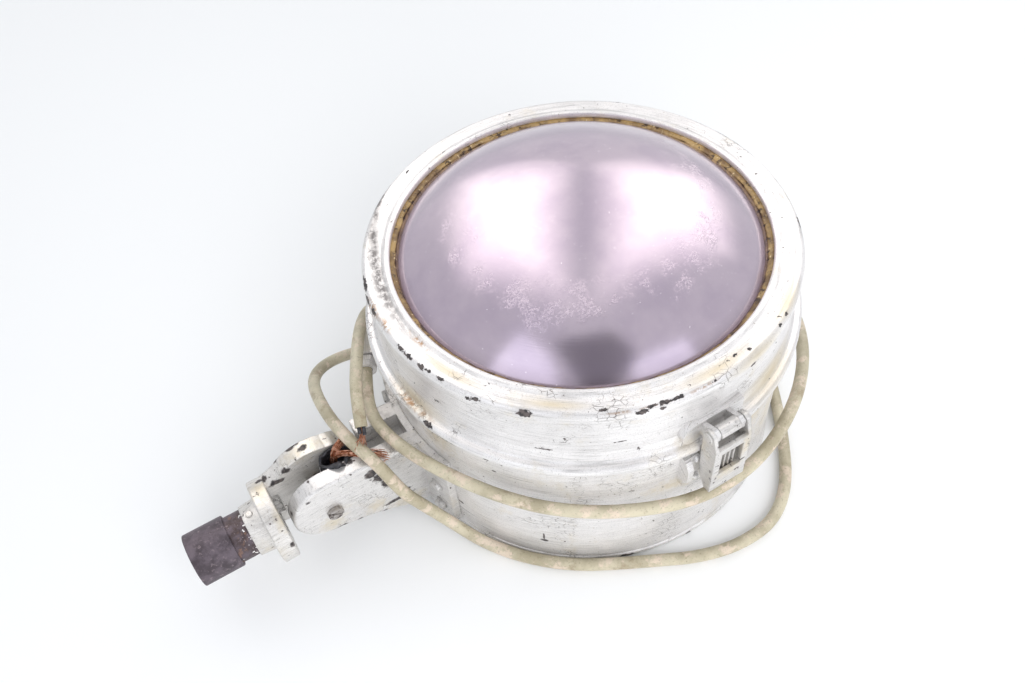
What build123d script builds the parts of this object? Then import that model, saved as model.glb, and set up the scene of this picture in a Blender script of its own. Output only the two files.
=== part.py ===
"""Floodlight head on a conduit knuckle, lying on its back with the lens up.

Millimetres.  The origin is the centre of the rear cover's outer face, +Z is the beam axis out of
the lens, and the conduit arm points along -X.  One STEP file is written for each piece.
"""

from build123d import *
from math import atan2, cos, pi, radians, sin, sqrt, tan
import os

os.makedirs("parts", exist_ok=True)

# ---------------------------------------------------------------- driving dimensions

WALL = 3.0
DRUM_RADIUS = 165.0
DRUM_RIM_HEIGHT = 138.8
REAR_COVER_THICKNESS = 3.0
REAR_COVER_RADIUS = 161.6
REAR_SCREW_CIRCLE = 151.0
REAR_SCREW_COUNT = 8
FIRST_REAR_SCREW = 22.5
REAR_SCREW_HOLE = 2.6
SEAL_TOP = 141.7

BEZEL_BOTTOM = 142.0
BEZEL_FACE = 207.0
BEZEL_RADIUS = 165.0
BEAD_RADIUS = 172.5
SKIRT_RADIUS = 163.4
LIP_RADIUS = 143.0
LIP_TOP = 208.4
CLIP_COUNT = 6
FIRST_CLIP = 30.0
CLIP_CIRCLE = 156.0

DOME_RADIUS = 189.0
DOME_THICKNESS = 5.0
GLASS_RIM_RADIUS = 136.0
GLASS_RIM_HEIGHT = 199.2
GLASS_FLANGE_RADIUS = 149.0

PIVOT_X = -247.0
PIVOT_HEIGHT = 63.0
CHEEK_INNER = 10.0
CHEEK_OUTER = 24.0
PIVOT_BOLT_RADIUS = 5.0
CONDUIT_HEIGHT = 58.0
CONDUIT_RADIUS = 19.5
NIPPLE_RADIUS = 19.2
NIPPLE_BORE = 16.6
FORK_FLANGE_RADIUS = 35.0
FORK_FLANGE_FACE = PIVOT_X - 38.0
FORK_FLANGE_THICKNESS = 13.0

HINGE_AXIS_RADIUS = 178.5
HINGE_AXIS_HEIGHT = 141.0
LATCH_AXIS_RADIUS = 178.5
LATCH_AXIS_HEIGHT = 170.0
LINK_AXIS_RADIUS = 180.5
LINK_AXIS_HEIGHT = 152.0

ENTRY_BEARING = 157.0
ENTRY_HEIGHT = 106.0
ARM_BOLTS = [(bearing, height) for bearing in (166.5, 193.5) for height in (20, 50, 80)]
ARM_BOLT_RADIUS = 3.0
ARM_BOLT_HOLE_RADIUS = 3.1
SADDLE_BOTTOM = 5.4
SADDLE_TOP = 94.0
GLAND_BORE_RADIUS = 5.3
GLASS_RING_BOTTOM = 190.2
LIP_UNDERSIDE = 203.2

CORD_RADIUS = 5.0
RUNNING_CLEARANCE = 0.06
ARC_SHARE = 0.45

# ---------------------------------------------------------------- shared helpers

pieces = {}


def keep(name, *solids):
    """File one piece, or a group of like pieces, under its name."""
    pieces[name] = Compound(children=list(solids)) if len(solids) > 1 else solids[0]


def polar(radius, azimuth, height):
    """A point by its distance from the beam axis, its bearing and its height."""
    return (radius * cos(radians(azimuth)), radius * sin(radians(azimuth)), height)


def outward_plane(azimuth):
    """Local x runs round the drum, local y is up and local z is the distance from the beam axis."""
    bearing = radians(azimuth)
    outward = (cos(bearing), sin(bearing), 0)
    return Plane(origin=(0, 0, 0), x_dir=(-sin(bearing), cos(bearing), 0), z_dir=outward)


def block(low, high):
    """An upright box between two corners."""
    size = [high[i] - low[i] for i in range(3)]
    centre = [(high[i] + low[i]) / 2 for i in range(3)]
    return Pos(*centre) * Box(*size)


def wall_block(azimuth, low, high):
    """A box in the outward plane's own axes: round the drum, height, radius."""
    return outward_plane(azimuth) * block(low, high)


def turned(points, radii=None):
    """Revolve a closed outline of (radius, height) points, with a fillet radius for each point."""
    radii = radii or [0] * len(points)
    outline = FilletPolyline(*[(radius, 0, height) for radius, height in points], radius=radii, close=True)
    return revolve(make_face(outline), Axis.Z)


def ring(inner, outer, bottom, top):
    """A flat washer about the beam axis."""
    return turned([(inner, bottom), (outer, bottom), (outer, top), (inner, top)])


def rod(start, end, radius):
    """A round bar between two points."""
    axis = Vector(*end) - Vector(*start)
    bar = Cylinder(radius, axis.length, align=(Align.CENTER, Align.CENTER, Align.MIN))
    return Plane(origin=start, z_dir=axis) * bar


def hexagon_bar(start, end, across_flats):
    """A hexagonal bar between two points."""
    axis = Vector(*end) - Vector(*start)
    section = Plane(origin=start, z_dir=axis) * RegularPolygon(across_flats / 2, 6, major_radius=False)
    return extrude(section, axis.length, dir=axis)


def plate_xz(points, y_low, y_high):
    """A plate with its outline in the vertical plane of the arm."""
    outline = Polyline(*[(x, y_low, z) for x, z in points], close=True)
    return extrude(make_face(outline), y_high - y_low, dir=(0, 1, 0))


def profile_block(azimuth, points, side_low, side_high):
    """A plate across the drum's wall: outline in (radius, height), thickness round the drum."""
    plane = outward_plane(azimuth)
    corners = [plane.from_local_coords(Vector(side_low, height, radius)) for radius, height in points]
    return extrude(make_face(Polyline(*corners, close=True)), side_high - side_low, dir=plane.x_dir)


def around(count, first, make):
    """Like pieces at equal bearings."""
    return [make(first + index * 360 / count) for index in range(count)]


def tube_path(points):
    """Straight runs joined by the largest tangent arcs that the runs allow, and the arc radii."""
    vectors = [Vector(*point) for point in points]
    radii = []
    for before, corner, after in zip(vectors, vectors[1:], vectors[2:]):
        incoming = corner - before
        outgoing = after - corner
        half_turn = radians(incoming.get_angle(outgoing)) / 2
        radii.append(ARC_SHARE * min(incoming.length, outgoing.length) / tan(half_turn))
    return FilletPolyline(*vectors, radius=radii), radii


def tube(points, radius):
    """A round cable along a route."""
    path, radii = tube_path(points)
    solid = sweep(Plane(origin=path @ 0, z_dir=path % 0) * Circle(radius), path=path)
    fullness = solid.volume / (pi * radius**2 * path.length)
    print(f"tube radius {radius}: length {path.length:.0f}, volume ratio {fullness:.4f}")
    print(f"tightest arc {min(radii):.0f}")
    return solid


# ---------------------------------------------------------------- drum housing and rear cover

drum_core = Cylinder(DRUM_RADIUS + 0.02, 400)


def housing_drum():
    """Spun drum: rolled foot, inward flange for the rear cover, inward flange for the door seal."""
    inner = DRUM_RADIUS - WALL
    flange_inner = 140.0
    drum = turned(
        [
            (inner, 0),
            (DRUM_RADIUS + 1.8, 0),
            (DRUM_RADIUS + 1.8, 4.0),
            (DRUM_RADIUS, 5.0),
            (DRUM_RADIUS, DRUM_RIM_HEIGHT),
            (156.0, DRUM_RIM_HEIGHT),
            (156.0, DRUM_RIM_HEIGHT - WALL),
            (inner, DRUM_RIM_HEIGHT - WALL),
            (inner, 6.0),
            (flange_inner, 6.0),
            (flange_inner, REAR_COVER_THICKNESS),
            (inner, REAR_COVER_THICKNESS),
        ],
        [0, 1.6, 1.6, 0.5, 1.5, 0.8, 0, 3, 0, 0, 0, 0],
    )
    for bearing in range(0, 360, 360 // REAR_SCREW_COUNT):
        drum -= Pos(*polar(REAR_SCREW_CIRCLE, bearing + FIRST_REAR_SCREW, 0)) * Cylinder(REAR_SCREW_HOLE, 30)
    drum -= wall_block(ENTRY_BEARING, (-7, ENTRY_HEIGHT - 7, 150), (7, ENTRY_HEIGHT + 7, 180))
    for bearing, height in ARM_BOLTS:
        drum -= rod(polar(155, bearing, height), polar(175, bearing, height), ARM_BOLT_HOLE_RADIUS)
    return drum


keep("drum_housing", housing_drum())


def rear_cover():
    """Flat pressed cover with a raised stiffening rib inside and countersunk screw holes."""
    cover = Cylinder(REAR_COVER_RADIUS, REAR_COVER_THICKNESS, align=(Align.CENTER, Align.CENTER, Align.MIN))
    cover += ring(112, 118, REAR_COVER_THICKNESS, REAR_COVER_THICKNESS + 3)
    for bearing in range(0, 360, 360 // REAR_SCREW_COUNT):
        place = Pos(*polar(REAR_SCREW_CIRCLE, bearing + FIRST_REAR_SCREW, 0))
        cover -= place * Cylinder(REAR_SCREW_HOLE, 20)
        cover -= place * Cone(5.0, 2.5, 2.7, align=(Align.CENTER, Align.CENTER, Align.MIN))
    return cover


def rear_cover_screw(bearing):
    """Countersunk slotted screw, flush with the cover's outer face."""
    x, y, _ = polar(REAR_SCREW_CIRCLE, bearing, 0)
    screw = Pos(x, y, 0.1) * Cone(4.8, 2.4, 2.5, align=(Align.CENTER, Align.CENTER, Align.MIN))
    screw += rod((x, y, 1), (x, y, 12), 2.45)
    return screw - Pos(x, y, 0) * Box(12, 1.2, 2.0)


def rear_cover_nut(bearing):
    """Plain hexagon nut on the drum's inner flange."""
    x, y, _ = polar(REAR_SCREW_CIRCLE, bearing, 0)
    return hexagon_bar((x, y, 6.05), (x, y, 10.0), 8.0) - Pos(x, y, 0) * Cylinder(2.5, 40)


keep("rear_cover", rear_cover())
keep("rear_cover_screws", *around(REAR_SCREW_COUNT, FIRST_REAR_SCREW, rear_cover_screw))
keep("rear_cover_nuts", *around(REAR_SCREW_COUNT, FIRST_REAR_SCREW, rear_cover_nut))
keep("door_seal", ring(157.0, 163.8, DRUM_RIM_HEIGHT, SEAL_TOP))

# ---------------------------------------------------------------- reflector

REFLECTOR_APEX = 34.0
REFLECTOR_FOCUS = 55.0
REFLECTOR_RIM = 148.0
REFLECTOR_HOLE = 30.0
REFLECTOR_SKIN = 1.2
REFLECTOR_SCREW_CIRCLE = 152.5
REFLECTOR_CLIPS = (30.0, 150.0, 270.0)


def bowl_height(radius):
    """Height of the paraboloid at a radius."""
    return REFLECTOR_APEX + radius**2 / (4 * REFLECTOR_FOCUS)


def reflector():
    """Spun parabolic bowl with a flat rim flange and a centre hole for the lamp."""
    middle = (REFLECTOR_HOLE + REFLECTOR_RIM) / 2
    radii = (REFLECTOR_HOLE, middle, REFLECTOR_RIM)
    front = [(radius, 0, bowl_height(radius)) for radius in radii]
    back = [(radius, 0, bowl_height(radius) - REFLECTOR_SKIN * 1.5) for radius in radii]
    flange_end = 155.5
    rim_top = front[2][2]
    outline = [
        ThreePointArc(*front),
        Polyline(
            front[2],
            (flange_end, 0, rim_top),
            (flange_end, 0, rim_top - REFLECTOR_SKIN),
            (REFLECTOR_RIM + 1.5, 0, rim_top - REFLECTOR_SKIN),
            back[2],
        ),
        ThreePointArc(back[2], back[1], back[0]),
        Line(back[0], front[0]),
    ]
    bowl = revolve(make_face(Curve() + outline), Axis.Z)
    for bearing in REFLECTOR_CLIPS:
        bowl -= Pos(*polar(REFLECTOR_SCREW_CIRCLE, bearing, rim_top)) * Cylinder(2.1, 10)
    return bowl


def reflector_clip(bearing):
    """Angle bracket riveted inside the drum, under the reflector's flange."""
    shelf_top = bowl_height(REFLECTOR_RIM) - REFLECTOR_SKIN - 0.05
    clip = wall_block(bearing, (-8, shelf_top - 2.5, 149.8), (8, shelf_top, 160.5))
    clip += wall_block(bearing, (-8, shelf_top - 22, 158.5), (8, shelf_top, 161.4))
    return clip - Pos(*polar(REFLECTOR_SCREW_CIRCLE, bearing, shelf_top)) * Cylinder(2.0, 12)


def reflector_screw(bearing):
    """Round-head screw through the flange into the clip."""
    rim_top = bowl_height(REFLECTOR_RIM)
    x, y, _ = polar(REFLECTOR_SCREW_CIRCLE, bearing, 0)
    screw = rod((x, y, rim_top - 9), (x, y, rim_top + 0.5), 1.95)
    screw += rod((x, y, rim_top + 0.05), (x, y, rim_top + 2.0), 3.4)
    return screw - Pos(x, y, rim_top + 2) * Box(8, 0.9, 1.6)


keep("reflector", reflector())
keep("reflector_clips", *[reflector_clip(bearing) for bearing in REFLECTOR_CLIPS])
keep("reflector_screws", *[reflector_screw(bearing) for bearing in REFLECTOR_CLIPS])

# ---------------------------------------------------------------- lamp and lampholder

BRIDGE_TOP = 27.0
LAMP_CENTRE = 104.0
LAMP_RADIUS = 33.0
LAMP_NECK_RADIUS = 14.5


def lampholder_bridge():
    """Hat-shaped steel strap on the rear cover that carries the lampholder."""
    strap = block((-70, -20, REAR_COVER_THICKNESS), (-46, 20, REAR_COVER_THICKNESS + 2.5))
    strap += block((46, -20, REAR_COVER_THICKNESS), (70, 20, REAR_COVER_THICKNESS + 2.5))
    strap += block((-48.5, -20, REAR_COVER_THICKNESS), (-46, 20, BRIDGE_TOP))
    strap += block((46, -20, REAR_COVER_THICKNESS), (48.5, 20, BRIDGE_TOP))
    strap += block((-48.5, -20, BRIDGE_TOP - 2.5), (48.5, 20, BRIDGE_TOP))
    return strap


def bridge_screw(x, y, seat):
    """Cheese-head screw with a slot."""
    screw = rod((x, y, seat + 0.02), (x, y, seat + 3), 4.0)
    return screw - Pos(x, y, seat + 3) * Box(9, 1.1, 2.4)


def lampholder_body():
    """Porcelain body with a flange and a well for the screw shell."""
    body = turned(
        [(0, BRIDGE_TOP), (28, BRIDGE_TOP), (28, 34), (23, 36), (23, 60), (15.4, 60), (15.4, 33), (0, 33)],
        [0, 1, 1.5, 1.5, 1.5, 1, 0, 0],
    )
    for side in (-1, 1):
        body -= Pos(side * 25.4, 0, 30) * Box(7.5, 9, 20)
    return body


def lamp_envelope():
    """Blown glass bulb, hollow, closed on the cap's rim."""
    neck_bottom = 63.0
    skin = 0.9

    def solid_of(radius, neck, bottom):
        join = LAMP_CENTRE - sqrt(radius**2 - neck**2)
        outline = [
            Line((0, 0, bottom), (neck, 0, bottom)),
            Line((neck, 0, bottom), (neck, 0, join)),
            ThreePointArc((neck, 0, join), (radius, 0, LAMP_CENTRE), (0, 0, LAMP_CENTRE + radius)),
            Line((0, 0, LAMP_CENTRE + radius), (0, 0, bottom)),
        ]
        return revolve(make_face(Curve() + outline), Axis.Z)

    outer = solid_of(LAMP_RADIUS, LAMP_NECK_RADIUS, neck_bottom)
    return outer - solid_of(LAMP_RADIUS - skin, LAMP_NECK_RADIUS - skin, neck_bottom + skin)


def lamp_filament():
    """Glass stem with two lead wires and a wreath filament."""
    stem = turned([(0, 64.2), (8, 64.2), (3, 76), (2.2, 92), (0, 94)])
    wires = rod((0, 0, 91), (12, 0, 104), 0.6) + rod((0, 0, 91), (-12, 0, 104), 0.6)
    wreath = Pos(0, 0, 104) * Torus(12, 0.9)
    return stem + wires + wreath


keep("lampholder_bridge", lampholder_bridge())
keep(
    "bridge_screws",
    *[bridge_screw(x, y, REAR_COVER_THICKNESS + 2.5) for x in (-59, 59) for y in (-11, 11)],
    *[bridge_screw(x, 0, BRIDGE_TOP) for x in (-26.3, 26.3)],
)
keep("lampholder_body", lampholder_body())
keep("lampholder_shell", ring(13.9, 15.2, 34.0, 58.5))
keep(
    "lamp_cap",
    turned([(0, 34), (5, 34), (9, 38), (13.6, 40), (13.6, 62.9), (0, 62.9)], [0, 1, 1, 1.5, 0, 0]),
)
keep("lamp_envelope", lamp_envelope())
keep("lamp_filament", lamp_filament())

# ---------------------------------------------------------------- terminals and cable entry

TERMINAL_BEARING = ENTRY_BEARING
CORD_START = polar(182.0, 163.0, ENTRY_HEIGHT)
CORD_SECOND = polar(186.0, 169.5, 105.0)
entry_direction = (Vector(*CORD_SECOND) - Vector(*CORD_START)).normalized()


def along_entry(distance):
    """A point on the gland's axis, measured from its mouth; negative is back into the box."""
    point = Vector(*CORD_START) + entry_direction * distance
    return (point.X, point.Y, point.Z)


def cable_entry_box():
    """Cast elbow box on the drum's wall: a hollow between the wall hole and the gland."""
    plane = outward_plane(ENTRY_BEARING)
    shell = plane * (Pos(-4, ENTRY_HEIGHT, 177) * Box(24, 19, 26))
    shell = fillet(shell.edges().filter_by(Axis.Z), 3)
    shell -= drum_core
    shell -= plane * (Pos(-4, ENTRY_HEIGHT, 174) * Box(17, 14, 26))
    return shell - rod(along_entry(-24), along_entry(0), 6.2)


def gland_body():
    """Hexagon gland body screwed into the entry box."""
    body = hexagon_bar(along_entry(-9.6), along_entry(-5.4), 18.0)
    return body - rod(along_entry(-30), along_entry(3), GLAND_BORE_RADIUS)


def gland_nut():
    """Domed cap nut that squeezes the bush on to the cable."""
    nut = rod(along_entry(-5.3), along_entry(-0.6), 8.6)
    return nut - rod(along_entry(-30), along_entry(3), GLAND_BORE_RADIUS)


def terminal_block():
    """Porcelain connector with three screw ways on the rear cover."""
    body = wall_block(TERMINAL_BEARING, (-24, REAR_COVER_THICKNESS, 86), (24, 20, 106))
    for side in (-15, 0, 15):
        body -= wall_block(TERMINAL_BEARING, (side - 5, 12, 92), (side + 5, 25, 100))
        body -= wall_block(TERMINAL_BEARING, (side - 2.4, 13, 80), (side + 2.4, 17.8, 112))
    return body


def terminal_insert(side):
    """Brass barrel with its clamping screw."""
    plane = outward_plane(TERMINAL_BEARING)
    barrel = plane * block((side - 4.6, 12.2, 92.4), (side + 4.6, 18.6, 99.6))
    barrel += plane * Pos(side, 20.2, 96) * Rot(90, 0, 0) * Cylinder(2.6, 3.6)
    return barrel - plane * block((side - 5, 21.2, 95.6), (side + 5, 23, 96.4))


def inner_lead(offset, way):
    """Single-core lead from the cable's end, down the wall, to its terminal."""
    plane = outward_plane(TERMINAL_BEARING)

    def local(side, height, radius):
        point = plane.from_local_coords(Vector(side, height, radius))
        return (point.X, point.Y, point.Z)

    return tube(
        [
            local(-1 + offset, ENTRY_HEIGHT + offset, 170),
            local(-1 + offset, ENTRY_HEIGHT - 2 + offset, 152 + offset),
            local(way * 0.5, 80, 143 + offset),
            local(way, 44, 139),
            local(way, 18, 122),
            local(way, 15.4, 107),
        ],
        1.5,
    )


keep("cable_entry_box", cable_entry_box())
keep("gland_body", gland_body())
keep("gland_nut", gland_nut())
keep(
    "gland_bush",
    rod(along_entry(-9), along_entry(-0.7), GLAND_BORE_RADIUS - 0.05)
    - rod(along_entry(-30), along_entry(3), CORD_RADIUS + 0.02),
)
keep("cable_tail", rod(along_entry(-13.2), along_entry(0), CORD_RADIUS))
keep("terminal_block", terminal_block())
keep("terminal_inserts", *[terminal_insert(side) for side in (-15, 0, 15)])
keep("lead_live", inner_lead(-3.6, -15))
keep("lead_neutral", inner_lead(0, 0.01))
keep("lead_earth", inner_lead(3.6, 15))

# ---------------------------------------------------------------- arm bracket

ARM_LUG_RADIUS = 32.0
ARM_LUG_HEIGHT = 68.0
CHANNEL_FLOOR = 78.0


def arm_bracket():
    """Hollow cast arm: two cheeks, floor and base webs, and a saddle on the drum."""
    top = [(-247, 100), (-206, 97), (-158, 93)]
    underside = [(-158, SADDLE_BOTTOM), (-189, 13), (-203, 21), (-222, 29), (-247, 36)]
    near = plate_xz(top + underside, -CHEEK_OUTER, -CHEEK_INNER)
    near += Pos(PIVOT_X, -(CHEEK_INNER + CHEEK_OUTER) / 2, ARM_LUG_HEIGHT) * Rot(90, 0, 0) * Cylinder(
        ARM_LUG_RADIUS, CHEEK_OUTER - CHEEK_INNER
    )
    outer_edges = near.edges().filter_by(lambda edge: abs(edge.center().Y + CHEEK_OUTER) < 0.01)
    near = fillet(outer_edges.filter_by(lambda edge: edge.center().X < -160), 2.5)
    far = plate_xz(
        [(-206, 96), (-158, 93), (-158, SADDLE_BOTTOM), (-189, 13), (-206, 22)], CHEEK_INNER, CHEEK_OUTER
    )
    far -= Pos(PIVOT_X, 17, PIVOT_HEIGHT) * Rot(90, 0, 0) * Cylinder(44.8, 40)
    floor = block((-243, -CHEEK_INNER, CHANNEL_FLOOR - 4), (-158, CHEEK_INNER - 0.6, CHANNEL_FLOOR))
    floor += block((-194, -CHEEK_INNER, CHANNEL_FLOOR - 4), (-158, CHEEK_INNER, CHANNEL_FLOOR))
    base = block((-188, -CHEEK_INNER, 12), (-158, CHEEK_INNER, 17))
    band = ring(DRUM_RADIUS, DRUM_RADIUS + 6, SADDLE_BOTTOM, SADDLE_TOP)
    saddle = band & block((-200, -54, 0), (-120, 54, 100))
    arm = near + far + floor + base + saddle - drum_core
    pivot_hole = Cylinder(PIVOT_BOLT_RADIUS + RUNNING_CLEARANCE, 80)
    arm -= Pos(PIVOT_X, 0, PIVOT_HEIGHT) * Rot(90, 0, 0) * pivot_hole
    for bearing, height in ARM_BOLTS:
        arm -= rod(polar(155, bearing, height), polar(180, bearing, height), ARM_BOLT_HOLE_RADIUS)
    return arm


def arm_bolt(bearing, height):
    """Hexagon bolt from outside through saddle and drum."""
    bolt = hexagon_bar(polar(171.05, bearing, height), polar(175.0, bearing, height), 10.0)
    return bolt + rod(polar(152, bearing, height), polar(172, bearing, height), ARM_BOLT_RADIUS)


def arm_nut(bearing, height):
    """Hexagon nut and washer inside the drum."""
    nut = hexagon_bar(polar(154.5, bearing, height), polar(159.0, bearing, height), 10.0)
    nut += rod(polar(159.0, bearing, height), polar(160.6, bearing, height), 6.5)
    return nut - rod(polar(150, bearing, height), polar(165, bearing, height), ARM_BOLT_RADIUS + 0.05)


def cable_cup():
    """Rubber sheath end standing in the arm's channel, hollow at the top."""
    outer = extrude(Pos(-229, -0.1, CHANNEL_FLOOR) * Ellipse(13.5, 9.2), 15)
    hollow = extrude(Pos(-229, -0.1, CHANNEL_FLOOR + 6) * Ellipse(10.8, 6.9), 14)
    return outer - hollow


def cup_strand(side, lean):
    """Bare copper strand out of the cup and along the channel."""
    return tube(
        [
            (-233 + lean, side, CHANNEL_FLOOR + 6.1),
            (-232 + lean, side, CHANNEL_FLOOR + 20.5),
            (-222 + lean, side * 0.7, CHANNEL_FLOOR + 19.5),
            (-209 + lean, side * 0.9 + 1, CHANNEL_FLOOR + 15.5),
        ],
        1.3,
    )


keep("arm_bracket", arm_bracket())
keep("arm_bolts", *[arm_bolt(bearing, height) for bearing, height in ARM_BOLTS])
keep("arm_nuts", *[arm_nut(bearing, height) for bearing, height in ARM_BOLTS])
keep("arm_cable_cup", cable_cup())
keep("arm_cable_strands", *[cup_strand(side, lean) for side, lean in ((-4, 0), (0, -1.5), (4, 1))])

# ---------------------------------------------------------------- fork, pivot and conduit

EAR_RADIUS = 38.0
EAR_HEEL_RADIUS = 30.0
EAR_HEEL = (-235.0, 68.0)
SPIGOT_END = FORK_FLANGE_FACE - FORK_FLANGE_THICKNESS - 13.0


def along_x(start, end, radius, end_radius=None):
    """A round piece on the conduit's axis."""
    length = abs(end - start)
    shape = Cone(radius, end_radius, length) if end_radius else Cylinder(radius, length)
    return Pos((start + end) / 2, 0, CONDUIT_HEIGHT) * Rot(0, -90, 0) * shape


def cross_disc(x, height, radius, y_low, y_high):
    """A disc across the arm, for ears and washers."""
    return Pos(x, (y_low + y_high) / 2, height) * Rot(90, 0, 0) * Cylinder(radius, y_high - y_low)


def fork_casting():
    """One ear, the round flange and the conduit spigot, cast in one piece."""
    heel_x, heel_z = EAR_HEEL
    lean = atan2(heel_z - PIVOT_HEIGHT, heel_x - PIVOT_X)
    up_x, up_z = -sin(lean), cos(lean)
    bridge = [
        (PIVOT_X + up_x * EAR_RADIUS, PIVOT_HEIGHT + up_z * EAR_RADIUS),
        (heel_x + up_x * EAR_HEEL_RADIUS, heel_z + up_z * EAR_HEEL_RADIUS),
        (heel_x - up_x * EAR_HEEL_RADIUS, heel_z - up_z * EAR_HEEL_RADIUS),
        (PIVOT_X - up_x * EAR_RADIUS, PIVOT_HEIGHT - up_z * EAR_RADIUS),
    ]
    ear = cross_disc(PIVOT_X, PIVOT_HEIGHT, EAR_RADIUS, CHEEK_INNER, CHEEK_OUTER)
    ear += cross_disc(heel_x, heel_z, EAR_HEEL_RADIUS, CHEEK_INNER, CHEEK_OUTER)
    ear += plate_xz(bridge, CHEEK_INNER, CHEEK_OUTER)
    root_x = FORK_FLANGE_FACE - 2
    neck = [
        (PIVOT_X, PIVOT_HEIGHT + EAR_RADIUS),
        (root_x, 84),
        (root_x, 32),
        (PIVOT_X, PIVOT_HEIGHT - EAR_RADIUS),
    ]
    ear += plate_xz(neck, CHEEK_INNER, CHEEK_OUTER)
    flange_end = FORK_FLANGE_FACE - FORK_FLANGE_THICKNESS
    flange = fillet(along_x(FORK_FLANGE_FACE, flange_end, FORK_FLANGE_RADIUS).edges(), 1.5)
    casting = ear + flange + along_x(flange_end + 1, SPIGOT_END, 22.4, 20.9)
    casting -= along_x(FORK_FLANGE_FACE + 5, SPIGOT_END - 5, 16.5)
    casting -= along_x(SPIGOT_END + 12.2, SPIGOT_END - 5, NIPPLE_RADIUS + 0.05)
    casting -= cross_disc(PIVOT_X, PIVOT_HEIGHT, PIVOT_BOLT_RADIUS + 0.02, 0, 40)
    grub_x = SPIGOT_END + 6
    return casting - rod((grub_x, 0, CONDUIT_HEIGHT), (grub_x, 0, CONDUIT_HEIGHT + 40), 2.6)


def pivot_bolt():
    """Slotted cheese-head bolt through lug, spacer and ear."""
    bolt = cross_disc(PIVOT_X, PIVOT_HEIGHT, PIVOT_BOLT_RADIUS, -CHEEK_OUTER - 1, 35)
    bolt += cross_disc(PIVOT_X, PIVOT_HEIGHT, 6.4, -CHEEK_OUTER - 3.4, -CHEEK_OUTER - 0.1)
    return bolt - Pos(PIVOT_X, -CHEEK_OUTER - 3.4, PIVOT_HEIGHT) * Rot(0, 38, 0) * Box(14, 2.2, 1.6)


def drilled_disc(radius, hole, y_low, y_high):
    """A washer or sleeve on the pivot bolt."""
    disc = cross_disc(PIVOT_X, PIVOT_HEIGHT, radius, y_low, y_high)
    return disc - cross_disc(PIVOT_X, PIVOT_HEIGHT, hole, y_low - 1, y_high + 1)


def pivot_nut():
    """Hexagon nut on the bolt's far end."""
    nut = hexagon_bar((PIVOT_X, 26.1, PIVOT_HEIGHT), (PIVOT_X, 33.0, PIVOT_HEIGHT), 17.0)
    return nut - cross_disc(PIVOT_X, PIVOT_HEIGHT, PIVOT_BOLT_RADIUS + 0.02, 20, 40)


keep("fork_casting", fork_casting())
keep("pivot_bolt", pivot_bolt())
keep("pivot_spacer", drilled_disc(9.0, 5.05, -CHEEK_INNER + 0.15, CHEEK_INNER - 0.02))
keep("pivot_washer", drilled_disc(11.0, 5.05, CHEEK_OUTER + 0.02, 26.0))
keep("pivot_nut", pivot_nut())

NIPPLE_END = -338.0
COUPLING_START = -325.0
COUPLING_END = -357.0


def conduit_coupling():
    """Sleeve over the nipple; its open half is the socket that the conduit enters."""
    sleeve = fillet(along_x(COUPLING_START, COUPLING_END, CONDUIT_RADIUS + 2.1).edges(), 0.8)
    sleeve -= along_x(COUPLING_START + 2, NIPPLE_END, NIPPLE_RADIUS + 0.05)
    return sleeve - along_x(NIPPLE_END, COUPLING_END - 2, CONDUIT_RADIUS + 0.05)


def conduit_grub_screw():
    """Headless screw through the spigot's wall on to the nipple."""
    x = SPIGOT_END + 6
    foot = CONDUIT_HEIGHT + NIPPLE_RADIUS + 0.1
    return rod((x, 0, foot), (x, 0, foot + 3.8), 2.5)


keep("conduit_nipple", along_x(SPIGOT_END + 12, NIPPLE_END, NIPPLE_RADIUS) - along_x(-290, -345, NIPPLE_BORE))
keep("conduit_coupling", conduit_coupling())
keep("conduit_grub_screw", conduit_grub_screw())

# ---------------------------------------------------------------- door: bezel, glass and clips


def bezel():
    """Cast door ring: beaded foot, coved skirt, stepped face corner and a rolled glass lip."""
    inner = SKIRT_RADIUS - WALL
    body = turned(
        [
            (inner, BEZEL_BOTTOM),
            (BEAD_RADIUS, BEZEL_BOTTOM),
            (BEAD_RADIUS, 150.0),
            (SKIRT_RADIUS + 2.2, 151.2),
            (SKIRT_RADIUS, 161.0),
            (SKIRT_RADIUS, 195.8),
            (BEZEL_RADIUS, 197.2),
            (BEZEL_RADIUS, BEZEL_FACE),
            (147.6, BEZEL_FACE - 0.6),
            (146.4, LIP_TOP),
            (LIP_RADIUS, LIP_TOP),
            (LIP_RADIUS, LIP_UNDERSIDE),
            (inner, LIP_UNDERSIDE),
        ],
        [0, 3.8, 3.6, 2.5, 6, 0.8, 0.8, 5.5, 1.2, 1.2, 1.8, 0.6, 4],
    )
    for bearing in range(0, 360, 360 // CLIP_COUNT):
        place = Pos(*polar(CLIP_CIRCLE, bearing + FIRST_CLIP, GLASS_RING_BOTTOM))
        body += place * Cylinder(5.6, 14, align=(Align.CENTER, Align.CENTER, Align.MIN))
        body -= place * Pos(0, 0, 4) * Cylinder(2.0, 16)
    return body


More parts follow.
